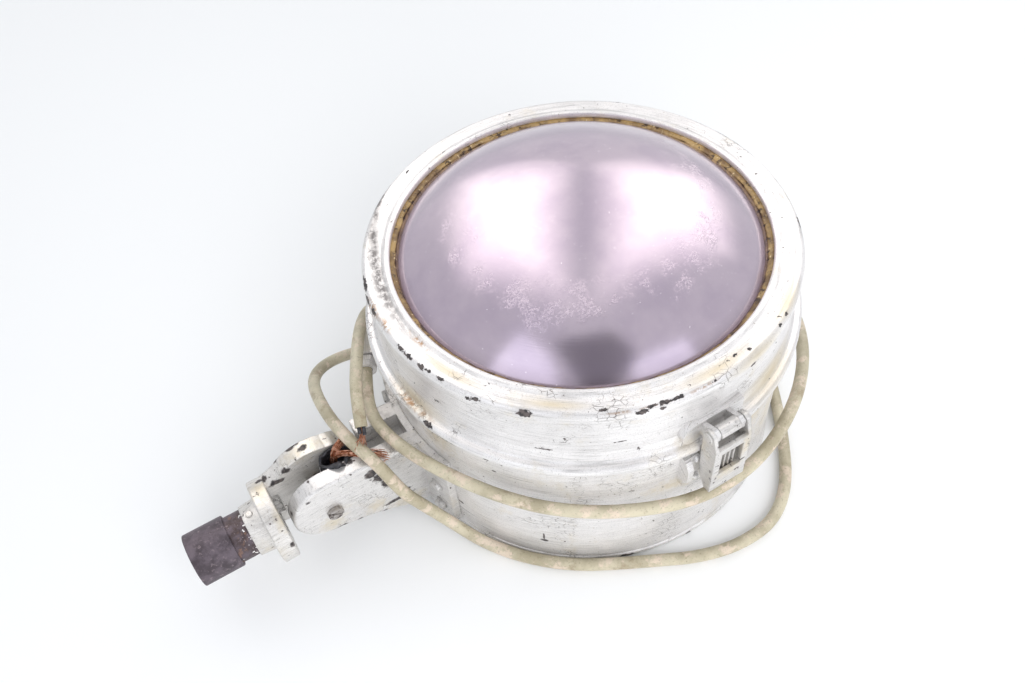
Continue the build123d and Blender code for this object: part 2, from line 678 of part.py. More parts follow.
def front_glass():
    """Pressed domed glass with a flat clamping flange."""
    centre = GLASS_RIM_HEIGHT - sqrt(DOME_RADIUS**2 - GLASS_RIM_RADIUS**2)
    inner_radius = DOME_RADIUS - DOME_THICKNESS
    flange_bottom = GLASS_RIM_HEIGHT - DOME_THICKNESS
    inner_rim = sqrt(inner_radius**2 - (flange_bottom - centre) ** 2)
    outline = [
        ThreePointArc(
            (GLASS_RIM_RADIUS, 0, GLASS_RIM_HEIGHT),
            (DOME_RADIUS * sin(0.4), 0, centre + DOME_RADIUS * cos(0.4)),
            (0, 0, centre + DOME_RADIUS),
        ),
        Line((0, 0, centre + DOME_RADIUS), (0, 0, centre + inner_radius)),
        ThreePointArc(
            (0, 0, centre + inner_radius),
            (inner_radius * sin(0.4), 0, centre + inner_radius * cos(0.4)),
            (inner_rim, 0, flange_bottom),
        ),
        Polyline(
            (inner_rim, 0, flange_bottom),
            (GLASS_FLANGE_RADIUS, 0, flange_bottom),
            (GLASS_FLANGE_RADIUS, 0, GLASS_RIM_HEIGHT),
            (GLASS_RIM_RADIUS, 0, GLASS_RIM_HEIGHT),
        ),
    ]
    return revolve(make_face(Curve() + outline), Axis.Z)


def glass_clip(bearing):
    """Steel tab that holds the glass ring up against the lip."""
    tab_top = GLASS_RING_BOTTOM - 0.05
    tab = wall_block(bearing, (-7, tab_top - 2.45, 142), (7, tab_top, 159.8))
    return tab - Pos(*polar(CLIP_CIRCLE, bearing, 190)) * Cylinder(2.1, 12)


def glass_clip_screw(bearing):
    """Round-head screw up into the bezel's boss."""
    x, y, _ = polar(CLIP_CIRCLE, bearing, 0)
    screw = rod((x, y, 185.4), (x, y, 187.65), 3.4) + rod((x, y, 187), (x, y, 197), 1.95)
    return screw - Pos(x, y, 185.4) * Box(8, 0.9, 1.6)


bezel_body = bezel()
keep("bezel", bezel_body)
keep("front_glass", front_glass())
keep(
    "glass_putty",
    turned(
        [
            (GLASS_RIM_RADIUS + 0.8, GLASS_RIM_HEIGHT + 0.05),
            (150, GLASS_RIM_HEIGHT + 0.05),
            (150, LIP_UNDERSIDE - 0.05),
            (142.8, LIP_UNDERSIDE - 0.05),
        ],
        [0, 0, 0, 1.0],
    ),
)
keep("glass_ring", ring(139.0, 149.5, GLASS_RING_BOTTOM, GLASS_RIM_HEIGHT - DOME_THICKNESS - 0.05))
keep("glass_clips", *around(CLIP_COUNT, FIRST_CLIP, glass_clip))
keep("glass_clip_screws", *around(CLIP_COUNT, FIRST_CLIP, glass_clip_screw))

# ---------------------------------------------------------------- door hinge

HINGE_BEARING = 90.0
HINGE_PIN_RADIUS = 3.0


def hinge_barrel(low, high, radius):
    """A round length on the hinge axis."""
    ends = [(side, HINGE_AXIS_RADIUS, HINGE_AXIS_HEIGHT) for side in (low, high)]
    return rod(*ends, radius)


def hinge_door_lug():
    """Cast lug on the bezel's skirt with the middle knuckle."""
    lug = profile_block(
        HINGE_BEARING,
        [(158, 174), (168, 174), (184, 156), (184, 141), (173.2, 141), (173.2, 150.6), (158, 154)],
        -12,
        12,
    )
    lug = lug + hinge_barrel(-12, 12, 5.5) - hinge_barrel(-14, 14, HINGE_PIN_RADIUS + 0.05)
    return (lug - bezel_body - Cylinder(SKIRT_RADIUS - 0.5, 600)).solids().sort_by(SortBy.VOLUME)[-1]


def hinge_housing_leaf():
    """Plate on the drum's wall with the two outer knuckles."""
    leaf = wall_block(HINGE_BEARING, (-32, 102, 155), (32, 134, 168.2))
    foot = [(160, 134), (160, 112), (168, 112)]
    cheek = foot + [(184, 134), (184, 141), (173.1, 141), (173.1, 137.6), (168, 134)]
    for low, high in ((-30, -12.3), (12.3, 30)):
        leaf += profile_block(HINGE_BEARING, cheek, low, high)
        leaf += hinge_barrel(low, high, 5.5)
    return leaf - hinge_barrel(-40, 40, HINGE_PIN_RADIUS + 0.02) - drum_core


def wall_rivet(bearing, side, height, seat):
    """Domed rivet head on a plate."""
    head = Sphere(3.6) & Pos(0, 0, 5) * Box(10, 10, 10)
    return outward_plane(bearing) * Pos(side, height, seat) * head


keep("hinge_door_lug", hinge_door_lug())
keep("hinge_housing_leaf", hinge_housing_leaf())
keep("hinge_pin", hinge_barrel(-33, 33, HINGE_PIN_RADIUS) + hinge_barrel(-35, -30.5, 4.6))
keep("hinge_rivets", *[wall_rivet(HINGE_BEARING, side, 106.5, 168.25) for side in (-22, -7, 7, 22)])

# ---------------------------------------------------------------- latch

LATCH_BEARING = -90.0
LEVER_HALF_WIDTH = 15.5
LEVER_CHEEK = 3.0
LEVER_WEB_INNER = 184.5
LEVER_WEB_OUTER = 187.5
LEVER_BOTTOM = 110.0
LEVER_FACE_TOP = 161.5
LEVER_EYE_RADIUS = 6.0
BOSS_EAR_INNER = 8.6
BOSS_EAR_OUTER = 12.2
LINK_HALF_WIDTH = 7.2
PIN_HEAD_START = LEVER_HALF_WIDTH + 0.05
PIN_HEAD_END = LEVER_HALF_WIDTH + 1.6


def latch_rod(radius_from_axis, height, radius, low, high):
    """A round length along the latch's own pivot direction."""
    plane = outward_plane(LATCH_BEARING)
    ends = [plane.from_local_coords(Vector(side, height, radius_from_axis)) for side in (low, high)]
    return rod((ends[0].X, ends[0].Y, ends[0].Z), (ends[1].X, ends[1].Y, ends[1].Z), radius)


def latch_boss():
    """Cast pad on the bezel's skirt with two ears for the lever's pin."""
    pad = wall_block(LATCH_BEARING, (-17, 151.5, 155), (24, 172, 167))
    rounded = outward_plane(LATCH_BEARING) * Pos(-17, 161.75, 161) * Cylinder(10.25, 12)
    boss = pad + rounded
    ear = [(163, 158), (173, 158), (182.6, 166.5), (182.6, 173), (178.5, 175.2), (173, 172.5), (163, 168)]
    boss += profile_block(LATCH_BEARING, ear, -BOSS_EAR_OUTER, -BOSS_EAR_INNER)
    boss += profile_block(LATCH_BEARING, ear, BOSS_EAR_INNER, BOSS_EAR_OUTER)
    boss -= latch_rod(LATCH_AXIS_RADIUS, LATCH_AXIS_HEIGHT, 3.06, -30, 30)
    return (boss - bezel_body - Cylinder(SKIRT_RADIUS - 0.5, 600)).solids().sort_by(SortBy.VOLUME)[-1]


def latch_lever():
    """Pressed channel lever: two cheeks with round eyes, and a windowed face ending in a finger tail."""
    side = [
        (172.8, LATCH_AXIS_HEIGHT),
        (184.4, LATCH_AXIS_HEIGHT),
        (LEVER_WEB_OUTER, LEVER_FACE_TOP),
        (LEVER_WEB_OUTER, LEVER_BOTTOM),
        (181.5, LEVER_BOTTOM),
        (174.2, 124),
        (173.6, 140),
    ]
    lever = wall_block(
        LATCH_BEARING,
        (-LEVER_HALF_WIDTH, LEVER_BOTTOM, LEVER_WEB_INNER),
        (LEVER_HALF_WIDTH, LEVER_FACE_TOP, LEVER_WEB_OUTER),
    )
    lever -= wall_block(LATCH_BEARING, (-9.5, 129, 170), (9.5, 155, 200))
    for low in (-LEVER_HALF_WIDTH, LEVER_HALF_WIDTH - LEVER_CHEEK):
        high = low + LEVER_CHEEK
        lever += profile_block(LATCH_BEARING, side, low, high)
        lever += latch_rod(LATCH_AXIS_RADIUS, LATCH_AXIS_HEIGHT, LEVER_EYE_RADIUS, low, high)
    lever -= latch_rod(LATCH_AXIS_RADIUS, LATCH_AXIS_HEIGHT, 3.02, -30, 30)
    return lever - latch_rod(LINK_AXIS_RADIUS, LINK_AXIS_HEIGHT, 2.02, -30, 30)


def latch_link():
    """Ribbed cast link that hooks the keeper."""
    link = wall_block(LATCH_BEARING, (-LINK_HALF_WIDTH, 108, 178), (LINK_HALF_WIDTH, 150, 181.4))
    link += latch_rod(LINK_AXIS_RADIUS, LINK_AXIS_HEIGHT, 3.8, -LINK_HALF_WIDTH, LINK_HALF_WIDTH)
    for side in (-6.6, -2.7, 1.2, 5.1):
        link += wall_block(LATCH_BEARING, (side, 113, 181), (side + 1.5, 150, 183.8))
    link += wall_block(LATCH_BEARING, (-LINK_HALF_WIDTH, 108, 175.5), (LINK_HALF_WIDTH, 112, 180))
    return link - latch_rod(LINK_AXIS_RADIUS, LINK_AXIS_HEIGHT, 2.06, -20, 20)


def latch_keeper():
    """Cast keeper on the drum's wall: base plate, hook nose and side lug."""
    keeper = wall_block(LATCH_BEARING, (-24, 100, 155), (14, 134, 168.4))
    keeper += wall_block(LATCH_BEARING, (-6.4, 118, 160), (6.4, 123.5, 174.8))
    lug = [(160, 104), (168, 104), (173.2, 110), (173.8, 124), (170, 132), (160, 132)]
    keeper += profile_block(LATCH_BEARING, lug, -24, -19)
    return keeper - drum_core


keep("latch_boss", latch_boss())
keep("latch_lever", latch_lever())
keep(
    "latch_pin",
    latch_rod(LATCH_AXIS_RADIUS, LATCH_AXIS_HEIGHT, 3.0, -LEVER_HALF_WIDTH - 1, LEVER_HALF_WIDTH + 1)
    + latch_rod(LATCH_AXIS_RADIUS, LATCH_AXIS_HEIGHT, 4.4, PIN_HEAD_START, PIN_HEAD_END)
    + latch_rod(LATCH_AXIS_RADIUS, LATCH_AXIS_HEIGHT, 4.4, -PIN_HEAD_END, -PIN_HEAD_START),
)
keep(
    "latch_roller",
    latch_rod(LATCH_AXIS_RADIUS, LATCH_AXIS_HEIGHT, 5.2, 0.3 - BOSS_EAR_INNER, BOSS_EAR_INNER - 0.3)
    - latch_rod(LATCH_AXIS_RADIUS, LATCH_AXIS_HEIGHT, 3.05, -12, 12),
)
keep("latch_link", latch_link())
keep(
    "latch_link_pin",
    latch_rod(LINK_AXIS_RADIUS, LINK_AXIS_HEIGHT, 2.0, -LEVER_HALF_WIDTH, LEVER_HALF_WIDTH),
)
keep("latch_keeper", latch_keeper())
keep(
    "keeper_rivets",
    *[wall_rivet(LATCH_BEARING, side, height, 168.45) for side in (-13, 8) for height in (105, 129.2)],
)

# ---------------------------------------------------------------- cord

# Radius from the beam axis, bearing and height of each point, from the gland to the cut end:
# once round under the door, once round on the floor, then up over the left side.
CORD_ROUTE = [
    (182, 163, 106),
    (186, 169.5, 105),
    (189.5, 176, 104),
    (187, 183, 103),
    (182.5, 190, 102),
    (178, 197.5, 101),
    (175, 206, 101),
    (174.2, 217, 101),
    (174.2, 229, 98.5),
    (174.3, 241, 95.5),
    (175.5, 252, 92),
    (179.5, 262.5, 90.5),
    (183, 273, 91.5),
    (184.5, 284, 95),
    (184, 295, 98.5),
    (183.5, 306, 98),
    (183, 318, 96),
    (183, 331, 90),
    (182.5, 344, 78),
    (182, 357, 62),
    (182, 10, 47),
    (182, 24, 34),
    (181, 38, 23),
    (180, 52, 14),
    (179, 66, 8),
    (178, 80, 6.2),
    (178, 94, 7),
    (178, 107, 13),
    (178, 119, 24),
    (180, 130, 37),
    (193, 141, 47),
    (222, 148, 62),
    (232, 157, 84),
    (224, 168, 101),
    (216, 178.5, 106.5),
    (207, 188, 105),
    (203, 194, 82),
    (191.5, 194.8, 50),
    (179, 199.5, 20),
    (174.5, 209, 6.2),
    (173.8, 221, 5.8),
    (173.8, 234, 5.6),
    (174.2, 246, 5.6),
    (179, 256, 5.6),
    (190, 266, 5.6),
    (200, 276, 5.6),
    (205.5, 286, 5.6),
    (199, 296, 5.6),
    (184, 309, 5.6),
    (174.5, 324, 5.6),
    (174, 338, 5.8),
    (174, 352, 6.5),
    (176, 5, 9),
    (186, 18, 8),
    (192, 31, 7),
    (194, 44, 6.5),
    (193, 57, 7),
    (192, 70, 9),
    (191, 82, 13),
    (190, 94, 22),
    (189.5, 105, 36),
    (188, 116, 54),
    (185.5, 127, 76),
    (182, 138, 98),
    (180.5, 148, 121),
    (182, 157, 130),
    (187, 166.3, 131),
    (195, 174, 128),
    (202, 180.5, 116),
]

cord_points = [polar(*point) for point in CORD_ROUTE]
cord_end = Vector(*cord_points[-1])
end_direction = (cord_end - Vector(*cord_points[-2])).normalized()


def cord_core(side, rise, length, radius):
    """A straight core out of the cord's cut end."""
    across = end_direction.cross(Vector(0, 0, 1)).normalized()
    above = across.cross(end_direction)
    start = cord_end + across * side + above * rise + end_direction * 0.05
    end = start + end_direction * length
    return rod((start.X, start.Y, start.Z), (end.X, end.Y, end.Z), radius)


keep("cord", tube(cord_points, CORD_RADIUS))
keep("cord_end_cores", cord_core(-2.2, 1, 6, 1.5), cord_core(2.2, 1, 4.5, 1.5), cord_core(0, -2.2, 5, 1.5))

# ---------------------------------------------------------------- write the pieces

for name, shape in pieces.items():
    export_step(shape, f"parts/{name}.step")

print(len(pieces), "pieces")
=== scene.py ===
import bmesh
import bpy
import math
from mathutils import Matrix, Vector, noise


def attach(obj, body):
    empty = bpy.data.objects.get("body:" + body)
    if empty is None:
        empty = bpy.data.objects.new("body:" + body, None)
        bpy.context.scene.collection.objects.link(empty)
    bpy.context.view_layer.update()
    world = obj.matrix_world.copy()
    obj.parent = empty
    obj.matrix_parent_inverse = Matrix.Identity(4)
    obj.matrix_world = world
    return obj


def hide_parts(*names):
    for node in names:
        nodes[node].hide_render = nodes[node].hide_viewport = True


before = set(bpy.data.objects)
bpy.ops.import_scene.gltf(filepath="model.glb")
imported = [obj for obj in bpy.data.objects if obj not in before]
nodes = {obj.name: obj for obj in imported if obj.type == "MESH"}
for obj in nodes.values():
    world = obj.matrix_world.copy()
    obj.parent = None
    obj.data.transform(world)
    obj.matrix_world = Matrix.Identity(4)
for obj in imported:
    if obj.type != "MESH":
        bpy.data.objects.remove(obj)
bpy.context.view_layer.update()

# ---------------------------------------------------------------------------------------------
# Studio: a pale sweep of floor, two large soft boxes overhead, and the camera above the arm.
# The domed glass mirrors the room, so a dark card and two light ones stand round the camera.
# ---------------------------------------------------------------------------------------------
MM = 0.001


def linear(hex_colour):
    """An sRGB hex colour as the linear RGBA that a shader socket takes."""
    channels = [int(hex_colour[i : i + 2], 16) / 255 for i in (1, 3, 5)]
    return (*[c / 12.92 if c <= 0.04045 else ((c + 0.055) / 1.055) ** 2.4 for c in channels], 1.0)


def feed(tree, node, feeds):
    """Give sockets of a node their values: a plain value, a hex colour, or a link from another node."""
    for socket, value in dict(feeds).items():
        if isinstance(value, bpy.types.NodeSocket):
            tree.links.new(value, node.inputs[socket])
        else:
            plain = linear(value) if isinstance(value, str) and value.startswith("#") else value
            node.inputs[socket].default_value = plain


def add(tree, kind, feeds=(), **settings):
    """Add one node with its settings and what feeds its sockets."""
    made = tree.nodes.new(kind)
    for name, value in settings.items():
        setattr(made, name, value)
    feed(tree, made, feeds)
    return made


def begin_material(name):
    """A new material with its principled shader and output, and the object's own coordinates."""
    material = bpy.data.materials.new(name)
    material.use_nodes = True
    tree = material.node_tree
    tree.nodes.clear()
    shader = add(tree, "ShaderNodeBsdfPrincipled")
    add(tree, "ShaderNodeOutputMaterial", {"Surface": shader.outputs["BSDF"]})
    place = add(tree, "ShaderNodeTexCoord").outputs["Object"]
    return material, tree, shader, place


def mesh_object(name, vertices, faces, material=None, smooth=True):
    """A mesh object at the origin, from vertices in metres."""
    mesh = bpy.data.meshes.new(name)
    mesh.from_pydata([tuple(v) for v in vertices], [], faces)
    mesh.update()
    for polygon in mesh.polygons:
        polygon.use_smooth = smooth
    if material:
        mesh.materials.append(material)
    made = bpy.data.objects.new(name, mesh)
    bpy.context.scene.collection.objects.link(made)
    return made


FLOOR_HALF = 6.0
floor_paint, floor_tree, floor_shader, floor_place = begin_material("matt white background paper")
feed(floor_tree, floor_shader, {"Base Color": "#f3f4f3", "Roughness": 0.62, "Specular IOR Level": 0.35})
floor = mesh_object(
    "studio_floor",
    [(-FLOOR_HALF, -FLOOR_HALF, -0.0004), (FLOOR_HALF, -FLOOR_HALF, -0.0004),
     (FLOOR_HALF, FLOOR_HALF, -0.0004), (-FLOOR_HALF, FLOOR_HALF, -0.0004)],
    [(0, 1, 2, 3)],
    floor_paint,
)


def soft_light(name, place, size, power, hex_colour):
    """A large soft box aimed at the lamp; polished surfaces see the painted cards instead of it."""
    light = bpy.data.lights.new(name, "AREA")
    light.shape = "SQUARE"
    light.size = size
    light.energy = power
    light.color = linear(hex_colour)[:3]
    lamp = bpy.data.objects.new(name, light)
    bpy.context.scene.collection.objects.link(lamp)
    lamp.location = place
    lamp.rotation_euler = (Vector((0, 0, 0.1)) - Vector(place)).to_track_quat("-Z", "Y").to_euler()
    lamp.visible_glossy = False


soft_light("left_soft_box", (-0.5, 1.25, 1.1), 1.2, 2.2, "#fffdf9")
soft_light("right_soft_box", (1.3, 0.5, 1.0), 1.2, 2.4, "#fffdf9")
soft_light("front_fill", (-0.2, -1.5, 1.0), 1.5, 24.0, "#fdfcff")


def glowing_card(name, corners, hex_colour, strength, soft):
    """A four-cornered card whose glow fades to its edges over the soft share of its width."""
    steps = 16
    a, b, c, d = (Vector(corner) for corner in corners)
    points, glow = [], []
    for row in range(steps + 1):
        for column in range(steps + 1):
            u, v = column / steps, row / steps
            points.append(a.lerp(b, u).lerp(d.lerp(c, u), v))
            edge = min(u, 1 - u, v, 1 - v)
            glow.append(1.0 if soft == 0 else min(1.0, edge / soft))
    faces = [
        (r * (steps + 1) + c, r * (steps + 1) + c + 1, (r + 1) * (steps + 1) + c + 1, (r + 1) * (steps + 1) + c)
        for r in range(steps) for c in range(steps)
    ]
    material = bpy.data.materials.new(name)
    material.use_nodes = True
    tree = material.node_tree
    tree.nodes.clear()
    share = add(tree, "ShaderNodeAttribute", attribute_name="glow").outputs["Fac"]
    eased = add(tree, "ShaderNodeMapRange", {"Value": share}, interpolation_type="SMOOTHSTEP").outputs[0]
    light = add(tree, "ShaderNodeEmission", {"Color": hex_colour, "Strength": strength})
    clear = add(tree, "ShaderNodeBsdfTransparent")
    both = add(tree, "ShaderNodeMixShader", {0: eased, 1: clear.outputs[0], 2: light.outputs[0]})
    add(tree, "ShaderNodeOutputMaterial", {"Surface": both.outputs[0]})
    card = mesh_object(name, points, faces, material)
    card.data.attributes.new("glow", "FLOAT", "POINT").data.foreach_set("value", glow)
    card.visible_camera = False
    card.visible_diffuse = False
    card.visible_shadow = False
    card.visible_transmission = False


glowing_card("left_box_glow", [(0.10, 1.45, 0.06), (0.80, 1.09, 0.86), (-0.34, -0.60, 1.53), (-1.00, 0.70, 1.08)],
             "#fffaf8", 3.1, 0.48)
glowing_card("right_box_glow", [(0.72, 1.12, 0.86), (1.45, 0.60, 0.10), (1.42, -0.30, 0.60), (-0.36, -0.58, 1.53)],
             "#fffaf8", 3.1, 0.48)
glowing_card("backdrop_glow", [(-0.9, 1.8, 0.0), (2.1, 0.1, 0.0), (2.1, 0.1, 1.1), (-0.9, 1.8, 1.1)],
             "#fbfcff", 0.95, 0.3)
glowing_card("dark_card", [(-0.75, -0.44, 1.42), (-0.06, -0.8, 1.47), (0.11, -1.11, 1.21), (-0.62, -1.24, 0.85)],
             "#3d3d48", 1.0, 0.1)
glowing_card("left_pale_card", [(-0.89, -0.17, 1.39), (-0.79, -0.6, 1.32), (-0.84, -1.02, 0.92), (-1.42, -0.13, 0.78)],
             "#f2f5ff", 1.85, 0.06)
glowing_card("right_pale_card", [(0.64, -1.04, 1.07), (0.70, -1.25, 0.72), (-0.21, -1.38, 0.80), (-0.12, -1.09, 1.22)],
             "#f2f5ff", 1.75, 0.08)

world = bpy.data.worlds.new("studio air")
bpy.context.scene.world = world
world.use_nodes = True
world.node_tree.nodes["Background"].inputs["Color"].default_value = (0.93, 0.95, 1.0, 1)
world.node_tree.nodes["Background"].inputs["Strength"].default_value = 0.80
bpy.context.scene.view_settings.view_transform = "Standard"

camera_data = bpy.data.cameras.new("camera")
camera_data.sensor_width = 36.0
camera_data.lens = 31.612
camera = bpy.data.objects.new("camera", camera_data)
bpy.context.scene.collection.objects.link(camera)
camera_right = Vector((0.854423, -0.514909, -0.069510))
camera_up = Vector((0.440765, 0.647463, 0.621706))
camera_back = -Vector((0.275116, 0.561837, -0.780160))
camera.matrix_world = Matrix.Translation((-0.26378, -0.40618, 0.68667)) @ Matrix(
    (camera_right, camera_up, camera_back)
).transposed().to_4x4()
bpy.context.scene.camera = camera

# ---------------------------------------------------------------------------------------------
# Supply cord: three-core flex in a tough rubber sheath, gone olive and hard with age, rubbed
# pink and pale where it lies outermost.  It leaves the gland, goes twice round and is cut off.
# ---------------------------------------------------------------------------------------------
CORD_DIAMETER = 10 * MM
CORD_ROUTE = [  # distance from the beam axis, bearing and height of each control point, mm and degrees
    (182, 163, 106), (186, 169.5, 105), (189.5, 176, 104), (187, 183, 103), (182.5, 190, 102),
    (178, 197.5, 101), (175, 206, 101), (174.2, 217, 101), (174.2, 229, 98.5), (174.3, 241, 95.5),
    (175.5, 252, 92), (179.5, 262.5, 90.5), (183, 273, 91.5), (184.5, 284, 95), (184, 295, 98.5),
    (183.5, 306, 98), (183, 318, 96), (183, 331, 90), (182.5, 344, 78), (182, 357, 62), (182, 10, 47),
    (182, 24, 34), (181, 38, 23), (180, 52, 14), (179, 66, 8), (178, 80, 6.2), (178, 94, 7),
    (178, 107, 13), (178, 119, 24), (180, 130, 37), (193, 141, 47), (222, 148, 62), (232, 157, 84),
    (224, 168, 101), (216, 178.5, 106.5), (207, 188, 105), (203, 194, 82), (191.5, 194.8, 50),
    (179, 199.5, 20), (174.5, 209, 6.2), (173.8, 221, 5.8), (173.8, 234, 5.6), (174.2, 246, 5.6),
    (179, 256, 5.6), (190, 266, 5.6), (200, 276, 5.6), (205.5, 286, 5.6), (199, 296, 5.6),
    (184, 309, 5.6), (174.5, 324, 5.6), (174, 338, 5.8), (174, 352, 6.5), (176, 5, 9), (186, 18, 8),
    (192, 31, 7), (194, 44, 6.5), (193, 57, 7), (192, 70, 9), (191, 82, 13), (190, 94, 22),
    (189.5, 105, 36), (188, 116, 54), (185.5, 127, 76), (182, 138, 98), (180.5, 148, 121),
    (182, 157, 130), (187, 166.3, 131), (195, 174, 128), (202, 180.5, 116),
]


def polar(radius, bearing, height):
    """A point in metres from its distance off the beam axis, its bearing and its height in mm."""
    a = math.radians(bearing)
    return Vector((radius * math.cos(a), radius * math.sin(a), height)) * MM


def speckle(tree, vector, scale, detail=3.0, roughness=0.55, low=0.4, high=0.6):
    """Noise squeezed between two levels, for patches with soft or sharp edges."""
    cloud = add(
        tree, "ShaderNodeTexNoise",
        {"Vector": vector, "Scale": scale, "Detail": detail, "Roughness": roughness},
    )
    return add(
        tree, "ShaderNodeMapRange",
        {"Value": cloud.outputs["Fac"], "From Min": low, "From Max": high}, interpolation_type="SMOOTHSTEP",
    ).outputs[0]


def overlap(tree, *masks):
    """Where all of several masks meet; a plain number among them weakens the rest."""
    result = masks[0]
    for mask in masks[1:]:
        result = add(tree, "ShaderNodeMath", {0: result, 1: mask}, operation="MULTIPLY").outputs[0]
    return result


def coat(tree, under, over, cover, share=None):
    """Colour over laid on colour under where cover is 1, hiding only a share of what is beneath."""
    if share is not None:
        cover = overlap(tree, cover, share)
    return add(tree, "ShaderNodeMix", {"Factor": cover, 6: under, 7: over}, data_type="RGBA").outputs[2]


def bumped(tree, shader, height, distance, strength=1.0, onto=None):
    """Raise the surface by a height field; distance is the real depth in metres."""
    beneath = {"Normal": onto} if onto else {}
    heights = {"Height": height, "Distance": distance, "Strength": strength}
    normal = add(tree, "ShaderNodeBump", {**heights, **beneath}).outputs["Normal"]
    feed(tree, shader, {"Normal": normal})
    return normal


def cord_rubber():
    """Aged tough-rubber sheath: dull olive beige, scuffed to a paler pinkish brown, fine grime."""
    material, tree, shader, place = begin_material("aged tough rubber sheath")
    tone = coat(tree, "#a59c83", "#c6bea5", speckle(tree, place, 28, 4, 0.6, 0.34, 0.66))
    rubbed = speckle(
        tree, add(tree, "ShaderNodeMapping", {"Vector": place, "Scale": (1, 1, 1.6)}).outputs[0], 60, 6, 0.7,
        0.50, 0.60,
    )
    tone = coat(tree, tone, "#d9c8b6", rubbed, 0.7)
    grime = speckle(tree, place, 620, 3, 0.6, 0.56, 0.72)
    tone = coat(tree, tone, "#716852", grime, 0.5)
    dark_patch = speckle(tree, place, 48, 6, 0.72, 0.55, 0.66)
    tone = coat(tree, tone, "#8b7a60", dark_patch, 0.55)
    feed(
        tree, shader,
        {
            "Base Color": tone,
            "Roughness": add(
                tree, "ShaderNodeMapRange", {"Value": rubbed, "To Min": 0.46, "To Max": 0.66}
            ).outputs[0],
            "Specular IOR Level": 0.45,
        },
    )
    wrinkle = add(
        tree, "ShaderNodeTexNoise", {"Vector": place, "Scale": 170.0, "Detail": 4.0, "Roughness": 0.6}
    )
    fine = bumped(tree, shader, wrinkle.outputs["Fac"], 0.0006, 0.6)
    pits = add(tree, "ShaderNodeTexNoise", {"Vector": place, "Scale": 900.0, "Detail": 2.0})
    bumped(tree, shader, pits.outputs["Fac"], 0.00025, 0.5, fine)
    return material


def smooth_line(name, points):
    """One open NURBS line on its control points."""
    data = bpy.data.curves.new(name, "CURVE")
    data.dimensions = "3D"
    spline = data.splines.new("NURBS")
    spline.points.add(len(points) - 1)
    for control, point in zip(spline.points, points):
        control.co = (*point, 1.0)
    spline.order_u = 3
    spline.use_endpoint_u = True
    made = bpy.data.objects.new(name, data)
    bpy.context.scene.collection.objects.link(made)
    return made


def run_curve(name, points, diameter, material, resolution=8):
    """A round cable or core along a smooth line."""
    made = smooth_line(name, points)
    made.data.resolution_u = resolution
    made.data.bevel_depth = diameter / 2
    made.data.bevel_resolution = 7
    made.data.use_fill_caps = True
    made.data.materials.append(material)
    return made


cord_sheath = cord_rubber()
cord_points = [polar(*point) for point in CORD_ROUTE]
supply_cord = run_curve("supply_cord", cord_points, CORD_DIAMETER, cord_sheath, 10)
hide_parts("cord")
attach(supply_cord, "lamp_head")

# ---------------------------------------------------------------------------------------------
# Cut end of the cord: the sheath is torn back and three perished cores and some of their
# tinned copper wires stick out.  The wires are drawn by one Geometry Nodes tree.
# ---------------------------------------------------------------------------------------------


def perished_rubber():
    """Natural rubber insulation, gone black, dull and cracked; grey bloom on the raised parts."""
    material, tree, shader, place = begin_material("perished black rubber")
    bloom = speckle(tree, place, 240, 4, 0.6, 0.45, 0.7)
    feed(tree, shader, {"Base Color": coat(tree, "#26262a", "#4d4d52", bloom), "Roughness": 0.58})
    bumped(tree, shader, bloom, 0.0004, 0.7)
    return material


def tarnished_copper():
    """Bare copper wire: warm metal, browned by air, still bright where the strands rub."""
    material, tree, shader, place = begin_material("tarnished copper wire")
    brown = speckle(tree, place, 330, 3, 0.55, 0.38, 0.62)
    feed(
        tree, shader,
        {
            "Base Color": coat(tree, "#e2b095", "#9c5f42", brown), "Metallic": 0.9,
            "Roughness": add(
                tree, "ShaderNodeMapRange", {"Value": brown, "To Min": 0.3, "To Max": 0.6}
            ).outputs[0],
        },
    )
    return material


black_rubber = perished_rubber()
copper = tarnished_copper()


